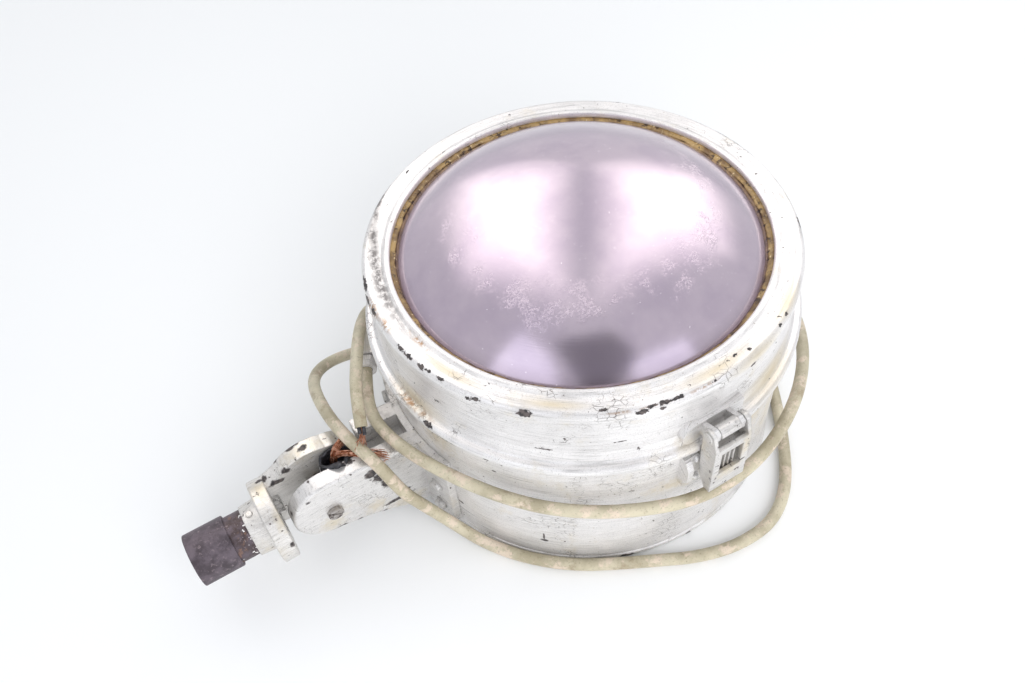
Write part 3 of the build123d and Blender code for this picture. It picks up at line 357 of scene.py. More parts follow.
def frayed_wire_tree():
    """Wires that start in a small round bundle, run along a guide line and spread at its end."""
    tree = bpy.data.node_groups.new("frayed wires", "GeometryNodeTree")
    face = tree.interface
    face.new_socket("Guide", in_out="INPUT", socket_type="NodeSocketGeometry")
    for label, kind, value in (
        ("Wires", "NodeSocketInt", 12),
        ("Bundle radius", "NodeSocketFloat", 0.0012),
        ("Spread", "NodeSocketFloat", 0.004),
        ("Wire radius", "NodeSocketFloat", 0.00022),
        ("Seed", "NodeSocketInt", 1),
    ):
        face.new_socket(label, in_out="INPUT", socket_type=kind).default_value = value
    face.new_socket("Finish", in_out="INPUT", socket_type="NodeSocketMaterial")
    face.new_socket("Wires", in_out="OUTPUT", socket_type="NodeSocketGeometry")
    given = add(tree, "NodeGroupInput").outputs
    line = add(tree, "GeometryNodeResampleCurve", {"Curve": given[0], "Count": 16})
    copies = add(
        tree, "GeometryNodeDuplicateElements", {"Geometry": line.outputs[0], "Amount": given[1]},
        domain="SPLINE",
    )
    along = add(tree, "GeometryNodeSplineParameter").outputs["Factor"]
    later = add(tree, "ShaderNodeMath", {0: given[5], 1: 7.0}, operation="ADD").outputs[0]
    start, end = (
        add(
            tree, "FunctionNodeRandomValue",
            {0: (-1, -1, -1), 1: (1, 1, 1), "ID": copies.outputs["Duplicate Index"], "Seed": seed},
            data_type="FLOAT_VECTOR",
        ).outputs[0]
        for seed in (given[5], later)
    )
    near = add(tree, "ShaderNodeVectorMath", {0: start, "Scale": given[2]}, operation="SCALE").outputs[0]
    squared = add(tree, "ShaderNodeMath", {0: along, 1: 2.2}, operation="POWER").outputs[0]
    reach = add(tree, "ShaderNodeMath", {0: squared, 1: given[3]}, operation="MULTIPLY").outputs[0]
    far = add(tree, "ShaderNodeVectorMath", {0: end, "Scale": reach}, operation="SCALE").outputs[0]
    both = add(tree, "ShaderNodeVectorMath", {0: near, 1: far}, operation="ADD").outputs[0]
    moved = add(tree, "GeometryNodeSetPosition", {"Geometry": copies.outputs["Geometry"], "Offset": both})
    ring = add(tree, "GeometryNodeCurvePrimitiveCircle", {"Resolution": 6, "Radius": given[4]}, mode="RADIUS")
    wires = add(
        tree, "GeometryNodeCurveToMesh",
        {"Curve": moved.outputs[0], "Profile Curve": ring.outputs[0], "Fill Caps": True},
    )
    real = add(tree, "GeometryNodeRealizeInstances", {"Geometry": wires.outputs[0]})
    finish = add(tree, "GeometryNodeSetMaterial", {"Geometry": real.outputs[0], "Material": given[6]})
    add(tree, "NodeGroupOutput", {0: finish.outputs[0]})
    return tree


def made_by_nodes(name, source, tree, values):
    """Run a Geometry Nodes tree on an object once and keep only the plain mesh it makes."""
    modifier = source.modifiers.new("maker", "NODES")
    modifier.node_group = tree
    sockets = {s.name: s.identifier for s in tree.interface.items_tree if s.in_out == "INPUT"}
    for label, value in values.items():
        modifier[sockets[label]] = value
    bpy.context.view_layer.update()
    graph = bpy.context.evaluated_depsgraph_get()
    mesh = bpy.data.meshes.new_from_object(source.evaluated_get(graph))
    source.modifiers.remove(modifier)
    mesh.name = name
    made = bpy.data.objects.new(name, mesh)
    bpy.context.scene.collection.objects.link(made)
    bpy.data.objects.remove(source)
    return made


wire_tree = frayed_wire_tree()
cord_end = cord_points[-1]
cord_way = (cord_end - cord_points[-2]).normalized()
cord_side = cord_way.cross(Vector((0, 0, 1))).normalized()
cord_top = cord_side.cross(cord_way)
core_parts = []
for index, (side, rise, reach, droop) in enumerate(
    ((-2.1, 1.1, 6.5, 0.5), (2.1, 1.1, 5.0, -0.6), (0.0, -2.2, 5.6, 0.2))
):
    root = cord_end - cord_way * 2 * MM + (cord_side * side + cord_top * rise) * MM
    tip = cord_end + cord_way * reach * MM + (cord_side * (side + droop) + cord_top * rise * 1.1) * MM
    core_parts.append(
        run_curve(f"cord_end_core_{index + 1}", [root, (root + tip) / 2, tip], 3.0 * MM, black_rubber)
    )
for core in core_parts:
    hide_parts("cord_end_cores")
    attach(core, "lamp_head")
end_guide = smooth_line("guide", [
    cord_end - cord_way * 1 * MM,
    cord_end + cord_way * 5 * MM,
    cord_end + cord_way * 10 * MM + cord_side * 1.5 * MM,
    cord_end + cord_way * 13 * MM + cord_side * 4 * MM - Vector((0, 0, 3 * MM)),
])
cord_end_wires = made_by_nodes(
    "cord_end_wires", end_guide, wire_tree,
    {
        "Wires": 16, "Bundle radius": 0.0016, "Spread": 0.0042, "Wire radius": 0.00025, "Seed": 4,
        "Finish": copper,
    },
)
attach(cord_end_wires, "lamp_head")

# ---------------------------------------------------------------------------------------------
# Drum housing, rear cover and their fittings: spun sheet steel, brush-painted several times
# with aluminium paint.  The thick paint has cracked into a fine net and stained yellow.
# ---------------------------------------------------------------------------------------------


def raised(tree, value, mask, step):
    """A value with a step added where the mask is 1."""
    return add(tree, "ShaderNodeMath", {0: mask, 1: step, 2: value}, operation="MULTIPLY_ADD").outputs[0]


def wavering(tree, value, cloud, reach):
    """A value that a cloud of noise moves up and down over the reach."""
    return raised(tree, raised(tree, value, 1.0, -reach / 2), cloud, reach)


def highest(tree, *masks):
    """The strongest of several masks."""
    result = masks[0]
    for mask in masks[1:]:
        result = add(tree, "ShaderNodeMath", {0: result, 1: mask}, operation="MAXIMUM").outputs[0]
    return result


def off_axis_distance(tree, place):
    """How far a spot is from the beam axis."""
    flat = add(tree, "ShaderNodeVectorMath", {0: place, 1: (1, 1, 0)}, operation="MULTIPLY").outputs[0]
    return add(tree, "ShaderNodeVectorMath", {0: flat}, operation="LENGTH").outputs["Value"]


def patch(tree, place, centre, size, soft=0.35):
    """1 inside an egg-shaped patch round a point, 0 outside; centre and size are in mm."""
    shift = add(
        tree, "ShaderNodeVectorMath", {0: place, 1: tuple(c * MM for c in centre)}, operation="SUBTRACT"
    )
    shares = tuple(1 / (s * MM) for s in size)
    scaled = add(tree, "ShaderNodeVectorMath", {0: shift.outputs[0], 1: shares}, operation="MULTIPLY")
    length = add(tree, "ShaderNodeVectorMath", {0: scaled.outputs[0]}, operation="LENGTH").outputs["Value"]
    wobble = add(tree, "ShaderNodeTexNoise", {"Vector": place, "Scale": 260.0, "Detail": 3.0}).outputs["Fac"]
    edge = wavering(tree, length, wobble, 1.3)
    return add(
        tree, "ShaderNodeMapRange",
        {"Value": edge, "From Min": 1.0 - soft, "From Max": 1.0, "To Min": 1.0, "To Max": 0.0},
    ).outputs[0]


def aluminium_paint(
    name, light="#eae8e6", dark="#d6d4d2", round_body=True, cracks=0.5, specks=0.62,
    chips=(), stains=(), attributes=False,
):
    """Leafing aluminium paint put on by brush over dark primer: pale, half metallic, streaked along
    the brush's way.  chips bare the primer and stains are yellow; both are (centre, size) in mm."""
    material, tree, shader, place = begin_material(name)
    axes = add(tree, "ShaderNodeSeparateXYZ", {"Vector": place}).outputs
    if round_body:
        off_axis = off_axis_distance(tree, place)
        across = raised(tree, axes[2], off_axis, 0.8)
        way = add(tree, "ShaderNodeCombineXYZ", {"X": axes[0], "Y": axes[1], "Z": across}).outputs[0]
        strokes_at = add(tree, "ShaderNodeMapping", {"Vector": way, "Scale": (22, 22, 520)}).outputs[0]
        cracks_at = add(tree, "ShaderNodeMapping", {"Vector": way, "Scale": (170, 170, 330)}).outputs[0]
    else:
        strokes_at = add(tree, "ShaderNodeMapping", {"Vector": place, "Scale": (60, 60, 520)}).outputs[0]
        cracks_at = add(tree, "ShaderNodeMapping", {"Vector": place, "Scale": (230, 230, 300)}).outputs[0]
    strokes = add(
        tree, "ShaderNodeTexNoise", {"Vector": strokes_at, "Scale": 1.0, "Detail": 3.0, "Roughness": 0.62}
    )
    streak = strokes.outputs["Fac"]
    cloud = speckle(tree, place, 16, 4, 0.6, 0.3, 0.7)
    tone = coat(tree, light, dark, cloud)
    tone = coat(
        tree, tone, "#f4f2f0",
        add(
            tree, "ShaderNodeMapRange", {"Value": streak, "From Min": 0.3, "From Max": 0.75, "To Max": 0.55}
        ).outputs[0],
    )
    if round_body:
        hairs_at = add(tree, "ShaderNodeMapping", {"Vector": way, "Scale": (46, 46, 1500)}).outputs[0]
    else:
        hairs_at = add(tree, "ShaderNodeMapping", {"Vector": place, "Scale": (130, 130, 1500)}).outputs[0]
    hairs = add(tree, "ShaderNodeTexNoise", {"Vector": hairs_at, "Scale": 1.0, "Detail": 2.0}).outputs["Fac"]
    dark_hair = add(
        tree, "ShaderNodeMapRange", {"Value": hairs, "From Min": 0.52, "From Max": 0.72, "To Max": 0.42}
    ).outputs[0]
    tone = coat(tree, tone, "#9a9794", dark_hair)
    grain = speckle(tree, place, 1300, 2, 0.5, 0.5, 0.72)
    tone = coat(tree, tone, "#8b8a88", grain, 0.34)
    dirt = speckle(tree, place, 480, 3, 0.6, 0.66, 0.74)
    tone = coat(tree, tone, "#8a7a66", dirt, 0.7)

    stain = overlap(tree, speckle(tree, place, 24, 5, 0.65, 0.56, 0.72), 0.34)
    for centre, size in stains:
        stain = highest(tree, stain, overlap(tree, patch(tree, place, centre, size, 0.9), 0.6))
    if attributes:
        stained = add(tree, "ShaderNodeAttribute", attribute_name="stain").outputs["Fac"]
        stain = highest(tree, stain, overlap(tree, stained, 0.8))
    tone = coat(tree, tone, "#cdbf9f", stain)

    bent = add(tree, "ShaderNodeTexNoise", {"Vector": place, "Scale": 120.0, "Detail": 3.0}).outputs["Color"]
    bent = add(tree, "ShaderNodeVectorMath", {0: bent, "Scale": 0.45}, operation="SCALE").outputs[0]
    crack_place = add(tree, "ShaderNodeVectorMath", {0: cracks_at, 1: bent}, operation="ADD").outputs[0]
    net = add(tree, "ShaderNodeTexVoronoi", {"Vector": crack_place, "Scale": 1.0}, feature="DISTANCE_TO_EDGE")
    line = add(
        tree, "ShaderNodeMapRange",
        {"Value": net.outputs["Distance"], "From Min": 0.008, "From Max": 0.04, "To Min": 1.0, "To Max": 0.0},
    ).outputs[0]
    where = speckle(tree, place, 26, 3, 0.6, 0.665 - 0.20 * cracks, 0.75 - 0.22 * cracks)
    broken = speckle(tree, place, 110, 3, 0.6, 0.36, 0.50)
    line = overlap(tree, line, where, broken)
    tone = coat(tree, tone, "#5d554e", line, 0.8)

    bare = speckle(tree, place, 210, 4, 0.6, specks + 0.06, specks + 0.09)
    bare = highest(tree, bare, *[patch(tree, place, centre, size) for centre, size in chips])
    if attributes:
        wobble = add(
            tree, "ShaderNodeTexNoise", {"Vector": place, "Scale": 480.0, "Detail": 3.0}
        ).outputs["Fac"]
        field = add(tree, "ShaderNodeAttribute", attribute_name="chip").outputs["Fac"]
        edge = wavering(tree, field, wobble, 1.1)
        cut = add(tree, "ShaderNodeMapRange", {"Value": edge, "From Min": 0.42, "From Max": 0.52}).outputs[0]
        bare = highest(tree, bare, cut)
        worn = add(tree, "ShaderNodeAttribute", attribute_name="scuff").outputs["Fac"]
        torn = speckle(
            tree, add(tree, "ShaderNodeMapping", {"Vector": place, "Scale": (1, 0.7, 1)}).outputs[0], 240, 5,
            0.7, 0.40, 0.58,
        )
        tone = coat(tree, tone, "#63605f", overlap(tree, worn, raised(tree, 0.35, torn, 0.6)))
        rusty = add(tree, "ShaderNodeAttribute", attribute_name="rust").outputs["Fac"]
        flecks = speckle(tree, place, 260, 4, 0.65, 0.42, 0.58)
        tone = coat(tree, tone, "#9c7a58", overlap(tree, rusty, flecks))
    primer = coat(tree, "#302d2d", "#5b5350", speckle(tree, place, 420, 3, 0.5, 0.4, 0.6))
    metal = add(tree, "ShaderNodeMapRange", {"Value": bare, "To Min": 0.5, "To Max": 0.0}).outputs[0]
    brushed = {"Value": streak, "From Min": 0.3, "From Max": 0.7, "To Min": 0.27, "To Max": 0.42}
    rough = raised(tree, add(tree, "ShaderNodeMapRange", brushed).outputs[0], bare, 0.25)
    feed(tree, shader, {"Base Color": coat(tree, tone, primer, bare), "Metallic": metal, "Roughness": rough})

    thick = raised(tree, streak, line, -0.8)
    soft_edges = None
    if not round_body:
        soft_edges = add(tree, "ShaderNodeBevel", {"Radius": 0.0014}, samples=4).outputs["Normal"]
    normal = bumped(tree, shader, thick, 0.00030, 0.8, soft_edges)
    normal = bumped(tree, shader, hairs, 0.00012, 0.7, normal)
    lumps = add(
        tree, "ShaderNodeTexNoise", {"Vector": place, "Scale": 75.0, "Detail": 4.0, "Roughness": 0.55}
    ).outputs["Fac"]
    normal = bumped(tree, shader, lumps, 0.0011, 0.5, normal)
    bumped(tree, shader, raised(tree, 1.0, bare, -1.0), 0.00035, 0.9, normal)
    return material


def finish_nodes(material, *names):
    """Give CAD nodes their real finish."""
    for name in names:
        for slot in nodes[name].material_slots:
            slot.material = material


drum_paint = aluminium_paint(
    "aluminium paint on spun steel drum", cracks=0.65,
    chips=[
        (tuple(polar(165, 200, 35) / MM), (3, 3, 2)),
        (tuple(polar(165, 226, 27) / MM), (4, 4, 2)),
        (tuple(polar(165, 226, 33) / MM), (1, 1, 6)),
        (tuple(polar(165, 214, 118) / MM), (2.5, 2.5, 1.2)),
        (tuple(polar(166, 249, 2) / MM), (9, 4, 2.5)),
        (tuple(polar(166, 235, 2) / MM), (6, 4, 2)),
        (tuple(polar(166, 268, 2) / MM), (3, 3, 2)),
    ],
    stains=[
        (tuple(polar(165, 288, 118) / MM), (36, 36, 26)),
        (tuple(polar(165, 300, 90) / MM), (30, 30, 40)),
        (tuple(polar(165, 262, 96) / MM), (34, 20, 12)),
        (tuple(polar(165, 196, 120) / MM), (14, 24, 20)),
    ],
)
cover_paint = aluminium_paint(
    "aluminium paint on pressed cover, scuffed", light="#cfcdca", dark="#adaba8", cracks=0.3, specks=0.56
)


def dulled_zinc():
    """Zinc plate on mild steel, gone grey and a little brown in the slots and threads."""
    material, tree, shader, place = begin_material("dulled zinc plated steel")
    brown = speckle(tree, place, 190, 4, 0.6, 0.5, 0.68)
    feed(
        tree, shader,
        {
            "Base Color": coat(tree, "#8f8d88", "#6a5c4d", brown), "Metallic": 0.85,
            "Roughness": add(
                tree, "ShaderNodeMapRange", {"Value": brown, "To Min": 0.38, "To Max": 0.62}
            ).outputs[0],
        },
    )
    bumped(tree, shader, brown, 0.0002, 0.5)
    return material


def pressed_cork():
    """Cork and rubber sheet: brown-black, grainy, matt."""
    material, tree, shader, place = begin_material("cork and rubber sheet")
    crumbs = add(tree, "ShaderNodeTexVoronoi", {"Vector": place, "Scale": 700.0}).outputs["Color"]
    grain = add(tree, "ShaderNodeSeparateColor", {"Color": crumbs}).outputs[0]
    feed(tree, shader, {"Base Color": coat(tree, "#2a2522", "#5c4737", grain), "Roughness": 0.85})
    bumped(tree, shader, grain, 0.0002, 0.6)
    return material


zinc = dulled_zinc()
finish_nodes(
    drum_paint, "drum_housing", "cable_entry_box", "gland_body", "gland_nut", "hinge_housing_leaf",
    "latch_keeper", "hinge_rivets", "keeper_rivets",
)
finish_nodes(cover_paint, "rear_cover")
finish_nodes(zinc, "rear_cover_screws", "rear_cover_nuts", "arm_nuts", "hinge_pin")
finish_nodes(pressed_cork(), "door_seal")
finish_nodes(black_rubber, "gland_bush")
finish_nodes(cord_sheath, "cable_tail")

# ---------------------------------------------------------------------------------------------
# Lamp inside the drum: spun and polished reflector on three clips, a porcelain holder on its
# steel bridge, a clear gas-filled lamp, and a porcelain connector with three rubber leads.
# ---------------------------------------------------------------------------------------------


def polished_spinning():
    """Spun aluminium, polished and lacquered: mirror-like with faint turning rings 0.6 mm apart."""
    material, tree, shader, place = begin_material("polished spun aluminium")
    off_axis = off_axis_distance(tree, place)
    rings = add(
        tree, "ShaderNodeTexNoise", {"W": off_axis, "Scale": 1650.0, "Detail": 2.0}, noise_dimensions="1D"
    ).outputs["Fac"]
    haze = speckle(tree, place, 22, 4, 0.6, 0.4, 0.7)
    feed(
        tree, shader,
        {
            "Base Color": coat(tree, "#e2e2e0", "#bdbcb4", haze), "Metallic": 1.0,
            "Roughness": add(
                tree, "ShaderNodeMapRange", {"Value": haze, "To Min": 0.10, "To Max": 0.30}
            ).outputs[0],
        },
    )
    bumped(tree, shader, rings, 0.00004, 0.5)
    return material


def glazed_porcelain():
    """White glazed porcelain: cream, glossy, with a few dark firing specks."""
    material, tree, shader, place = begin_material("glazed porcelain")
    specks = speckle(tree, place, 520, 2, 0.5, 0.70, 0.74)
    feed(
        tree, shader,
        {"Base Color": coat(tree, "#e9e4d6", "#6b6257", specks), "Roughness": 0.16, "Coat Weight": 0.5},
    )
    return material


def dull_brass():
    """Turned brass, browned in air; metal, softly shiny."""
    material, tree, shader, place = begin_material("dull brass")
    tarnish = speckle(tree, place, 160, 4, 0.6, 0.4, 0.65)
    feed(
        tree, shader,
        {"Base Color": coat(tree, "#c9a765", "#86693b", tarnish), "Metallic": 1.0, "Roughness": 0.34},
    )
    bumped(tree, shader, tarnish, 0.0001, 0.4)
    return material


def blown_glass():
    """Clear blown soda glass with slight dust."""
    material, tree, shader, place = begin_material("clear blown glass")
    dust = speckle(tree, place, 60, 4, 0.6, 0.5, 0.75)
    feed(
        tree, shader,
        {
            "Base Color": coat(tree, "#fbfbf8", "#e2e0d8", dust), "Transmission Weight": 1.0, "IOR": 1.5,
            "Roughness": add(
                tree, "ShaderNodeMapRange", {"Value": dust, "To Min": 0.02, "To Max": 0.14}
            ).outputs[0],
        },
    )
    return material


def drawn_tungsten():
    """Coiled tungsten wire on its stem: dark grey metal."""
    material, tree, shader, place = begin_material("drawn tungsten")
    feed(
        tree, shader,
        {
            "Base Color": coat(tree, "#5d5d60", "#86868a", speckle(tree, place, 900, 2)), "Metallic": 0.9,
            "Roughness": 0.4,
        },
    )
    return material


def lead_rubber(name, hex_colour, faded):
    """Coloured rubber insulation with a talc-like bloom."""
    material, tree, shader, place = begin_material(name)
    feed(
        tree, shader,
        {"Base Color": coat(tree, hex_colour, faded, speckle(tree, place, 210, 4)), "Roughness": 0.6},
    )
    return material


finish_nodes(polished_spinning(), "reflector")
finish_nodes(zinc, "reflector_clips", "reflector_screws", "lampholder_bridge", "bridge_screws")
finish_nodes(glazed_porcelain(), "lampholder_body", "terminal_block")
finish_nodes(dull_brass(), "lampholder_shell", "lamp_cap", "terminal_inserts")
finish_nodes(blown_glass(), "lamp_envelope")
finish_nodes(drawn_tungsten(), "lamp_filament")
finish_nodes(lead_rubber("red rubber insulation", "#7a2a22", "#9a5148"), "lead_live")
finish_nodes(lead_rubber("black rubber insulation", "#1f1f22", "#45454a"), "lead_neutral")
finish_nodes(lead_rubber("green rubber insulation", "#2c5a34", "#5d7f5c"), "lead_earth")

# ---------------------------------------------------------------------------------------------
# Arm: hollow grey-iron casting bolted to the drum by its saddle, painted with the drum.  A torn
# rubber sleeve and the bare copper of an old supply stand in its open channel.
# ---------------------------------------------------------------------------------------------
arm_paint = aluminium_paint(
    "aluminium paint on grey iron arm", light="#dcdad7", dark="#c3c1be", round_body=False, cracks=0.55, specks=0.60,
    chips=[
        ((-209, -24, 86), (9, 5, 6)), ((-204, -24, 76), (7.5, 5, 8)), ((-201, -24, 64), (6.5, 5, 8)),
        (
            (-195, -24, 33), (16, 4, 2.6)
        ), ((-188, -24, 40), (6, 4, 2.2)), ((-247, -24, 37), (6, 4, 2.2)), ((-232, -24, 33), (4, 4, 1.8)),
        ((-222, -12, 99), (5, 5, 2)), ((-262, -22, 92), (3, 3, 3)), ((-276, -18, 78), (2, 4, 4)),
        ((-212, -24, 26), (4, 3, 1.5)), ((-178, -40, 60), (4, 5, 3)),
    ],
    stains=[((-252, -24, 48), (14, 6, 12)), ((-215, -24, 40), (12, 6, 12)), ((-190, -24, 24), (20, 6, 10))],
)
finish_nodes(arm_paint, "arm_bracket")


def painted_bolt_head(name):
    """Hexagon head and washer face with softened corners, along +Z, on its shank."""
    shape = bmesh.new()
    turn = Matrix.Rotation(math.radians(15), 4, "Z")
    bmesh.ops.create_cone(shape, cap_ends=True, segments=6, radius1=5.75 * MM, radius2=5.6 * MM, depth=3.6 * MM,
                          matrix=Matrix.Translation((0, 0, 2.1 * MM)) @ turn)
    bmesh.ops.bevel(shape, geom=list(shape.edges), offset=0.55 * MM, segments=2, affect="EDGES")
    bmesh.ops.create_cone(shape, cap_ends=True, segments=24, radius1=6.4 * MM, radius2=6.1 * MM, depth=0.6 * MM,
                          matrix=Matrix.Translation((0, 0, 0.32 * MM)))
    bmesh.ops.create_cone(shape, cap_ends=True, segments=16, radius1=3.0 * MM, radius2=3.0 * MM, depth=19 * MM,
                          matrix=Matrix.Translation((0, 0, -9.3 * MM)))
    mesh = bpy.data.meshes.new(name)
    shape.to_mesh(mesh)
    shape.free()
    made = bpy.data.objects.new(name, mesh)
    bpy.context.scene.collection.objects.link(made)
    return made


def fastener_tree():
    """One fastener at each point, turned by the point's own angles; the seed scatters their spin."""
    tree = bpy.data.node_groups.new("fasteners at points", "GeometryNodeTree")
    face = tree.interface
    face.new_socket("Points", in_out="INPUT", socket_type="NodeSocketGeometry")
    face.new_socket("Fastener", in_out="INPUT", socket_type="NodeSocketObject")
    face.new_socket("Spin", in_out="INPUT", socket_type="NodeSocketFloat").default_value = 0.5
    face.new_socket("Seed", in_out="INPUT", socket_type="NodeSocketInt").default_value = 3
    face.new_socket("Finish", in_out="INPUT", socket_type="NodeSocketMaterial")
    face.new_socket("Fasteners", in_out="OUTPUT", socket_type="NodeSocketGeometry")
    given = add(tree, "NodeGroupInput").outputs
    shape = add(tree, "GeometryNodeObjectInfo", {"Object": given[1]})
    angles = add(tree, "GeometryNodeInputNamedAttribute", {"Name": "turn"}, data_type="FLOAT_VECTOR").outputs[0]
    put = add(
        tree, "GeometryNodeInstanceOnPoints",
        {"Points": given[0], "Instance": shape.outputs["Geometry"], "Rotation": angles},
    )
    low = add(tree, "ShaderNodeMath", {0: given[2], 1: -1.0}, operation="MULTIPLY").outputs[0]
    spin = add(
        tree, "FunctionNodeRandomValue", {2: low, 3: given[2], "Seed": given[3]}, data_type="FLOAT"
    ).outputs[1]
    axis = add(tree, "ShaderNodeCombineXYZ", {"Z": spin}).outputs[0]
    spun = add(
        tree, "GeometryNodeRotateInstances",
        {"Instances": put.outputs[0], "Rotation": axis, "Local Space": True},
    )
    real = add(tree, "GeometryNodeRealizeInstances", {"Geometry": spun.outputs[0]})
    finish = add(tree, "GeometryNodeSetMaterial", {"Geometry": real.outputs[0], "Material": given[4]})
    add(tree, "NodeGroupOutput", {0: finish.outputs[0]})
    return tree


def fasteners(name, shape, places, finish, spin, seed, body, slot, *replaced):
    """Repeat one fastener at (point, outward direction) places as a single plain mesh."""
    points = mesh_object("points", [point for point, _ in places], [])
    angles = [angle for _, outward in places for angle in Vector(outward).to_track_quat("Z", "Y").to_euler()]
    points.data.attributes.new("turn", "FLOAT_VECTOR", "POINT").data.foreach_set("vector", angles)
    made = made_by_nodes(
        name, points, fixing_tree, {"Fastener": shape, "Spin": spin, "Seed": seed, "Finish": finish}
    )
    bpy.data.objects.remove(shape)
    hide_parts(*replaced)
    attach(made, body)
    return made


fixing_tree = fastener_tree()
saddle_places = [
    (polar(171.05, bearing, height), polar(1, bearing, 0).normalized())
    for bearing in (166.5, 193.5) for height in (20, 50, 80)
]
fasteners("saddle_bolts", painted_bolt_head("bolt_head"), saddle_places, arm_paint, 0.5, 3, "lamp_head",
          "aluminium_paint_arm", "arm_bolts")


def torn_sleeve():
    """Rubber sleeve end: an oval tube, torn at its lip, which folds out over the arm's near cheek."""
    segments, rings = 72, 18
    walls = ([], [])
    for ring in range(rings + 1):
        up = ring / rings
        for segment in range(segments):
            angle = 2 * math.pi * segment / segments
            ragged = noise.noise(Vector((math.cos(angle) * 2.6, math.sin(angle) * 2.6, 3.1)))
            near = max(0.0, -math.sin(angle))
            lip = 17.0 + 4.0 * ragged + 6.0 * near
            fold = 1 + 0.07 * noise.noise(Vector((math.cos(angle) * 3, math.sin(angle) * 3, up * 2)))
            flare = 1 + 0.75 * near * max(0.0, up - 0.86) / 0.14
            for wall, shrink in enumerate((0.0, 1.9)):
                x = -229.0 + (13.4 - shrink) * fold * math.cos(angle)
                y = -0.1 + (9.0 - shrink) * fold * math.sin(angle) * flare
                z = 78.2 + 2.2 * wall + (lip - 2.2 * wall) * up
                walls[wall].append(Vector((x, y, z)) * MM)
    stride = len(walls[0])
    faces = []
    for wall in (0, 1):
        for ring in range(rings):
            for segment in range(segments):
                a = wall * stride + ring * segments + segment
                b = wall * stride + ring * segments + (segment + 1) % segments
                quad = (a, b, b + segments, a + segments)
                faces.append(quad if wall == 0 else quad[::-1])
    top, inner_top = rings * segments, stride + rings * segments
    for segment in range(segments):
        after = (segment + 1) % segments
        faces.append((top + segment, top + after, inner_top + after, inner_top + segment))
    faces.append(tuple(reversed(range(segments))))
    faces.append(tuple(range(stride, stride + segments)))
    made = mesh_object("arm_cable_sleeve", walls[0] + walls[1], faces, black_rubber)
    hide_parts("arm_cable_cup")
    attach(made, "lamp_head")


torn_sleeve()
wire_runs = (
    ("arm_wires_long", 34, 0.0022, 0.0034, 11,
     [(-232, 1, 84), (-231, 0, 95), (-224, -3, 101), (-214, -9, 100), (-203, -17, 100.5), (-196, -22, 97)]),
    ("arm_wires_short", 30, 0.0022, 0.0026, 5,
     [(-230, -2, 84), (-232, -3, 96), (-227, 1, 102), (-219, 5, 101), (-212, 8, 100)]),
)
for name, count, bundle, spread, seed, points in wire_runs:
    wires = made_by_nodes(
        name, smooth_line("guide", [Vector(p) * MM for p in points]), wire_tree,
        {
            "Wires": count, "Bundle radius": bundle, "Spread": spread, "Wire radius": 0.0003, "Seed": seed,
            "Finish": copper,
        },
    )
    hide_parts("arm_cable_strands")
    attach(wires, "lamp_head")

# ---------------------------------------------------------------------------------------------
# Fork, pivot bolt and conduit: an iron casting with one ear, a round flange and a spigot that
# the steel conduit screws into.  The conduit's own end carries an oxidised steel coupling.
# ---------------------------------------------------------------------------------------------
fork_paint = aluminium_paint(
    "aluminium paint on iron fork", light="#dedbd5", dark="#c5c1ba", round_body=False, cracks=0.35, specks=0.60,
    chips=[
        (
            (-276, 10, 86), (7, 4, 3)
        ), ((-266, 10, 94), (5, 4, 3)), ((-283, 19, 84), (3, 4, 5)), ((-287, 17, 88), (4, 3, 4)),
        (
            (-256, 24, 100), (8, 3, 3)
        ), ((-268, 24, 92), (6, 3, 3)), ((-286, -34, 66), (3, 3, 3)), ((-296, -30, 40), (3, 3, 3)),
        ((-247, 17, 101), (5, 3, 1.5)),
    ],
    stains=[((-290, 8, 92), (12, 18, 8)), ((-286, -20, 84), (6, 16, 14)), ((-247, 17, 98), (30, 10, 8))],
)
bolt_paint = aluminium_paint(
    "thin aluminium paint over brown steel", light="#80776f", dark="#5c524b", round_body=False, cracks=0.1, specks=0.5
)
finish_nodes(fork_paint, "fork_casting")
finish_nodes(bolt_paint, "pivot_bolt")
finish_nodes(fork_paint, "pivot_washer", "pivot_nut", "conduit_grub_screw")
finish_nodes(zinc, "pivot_spacer")


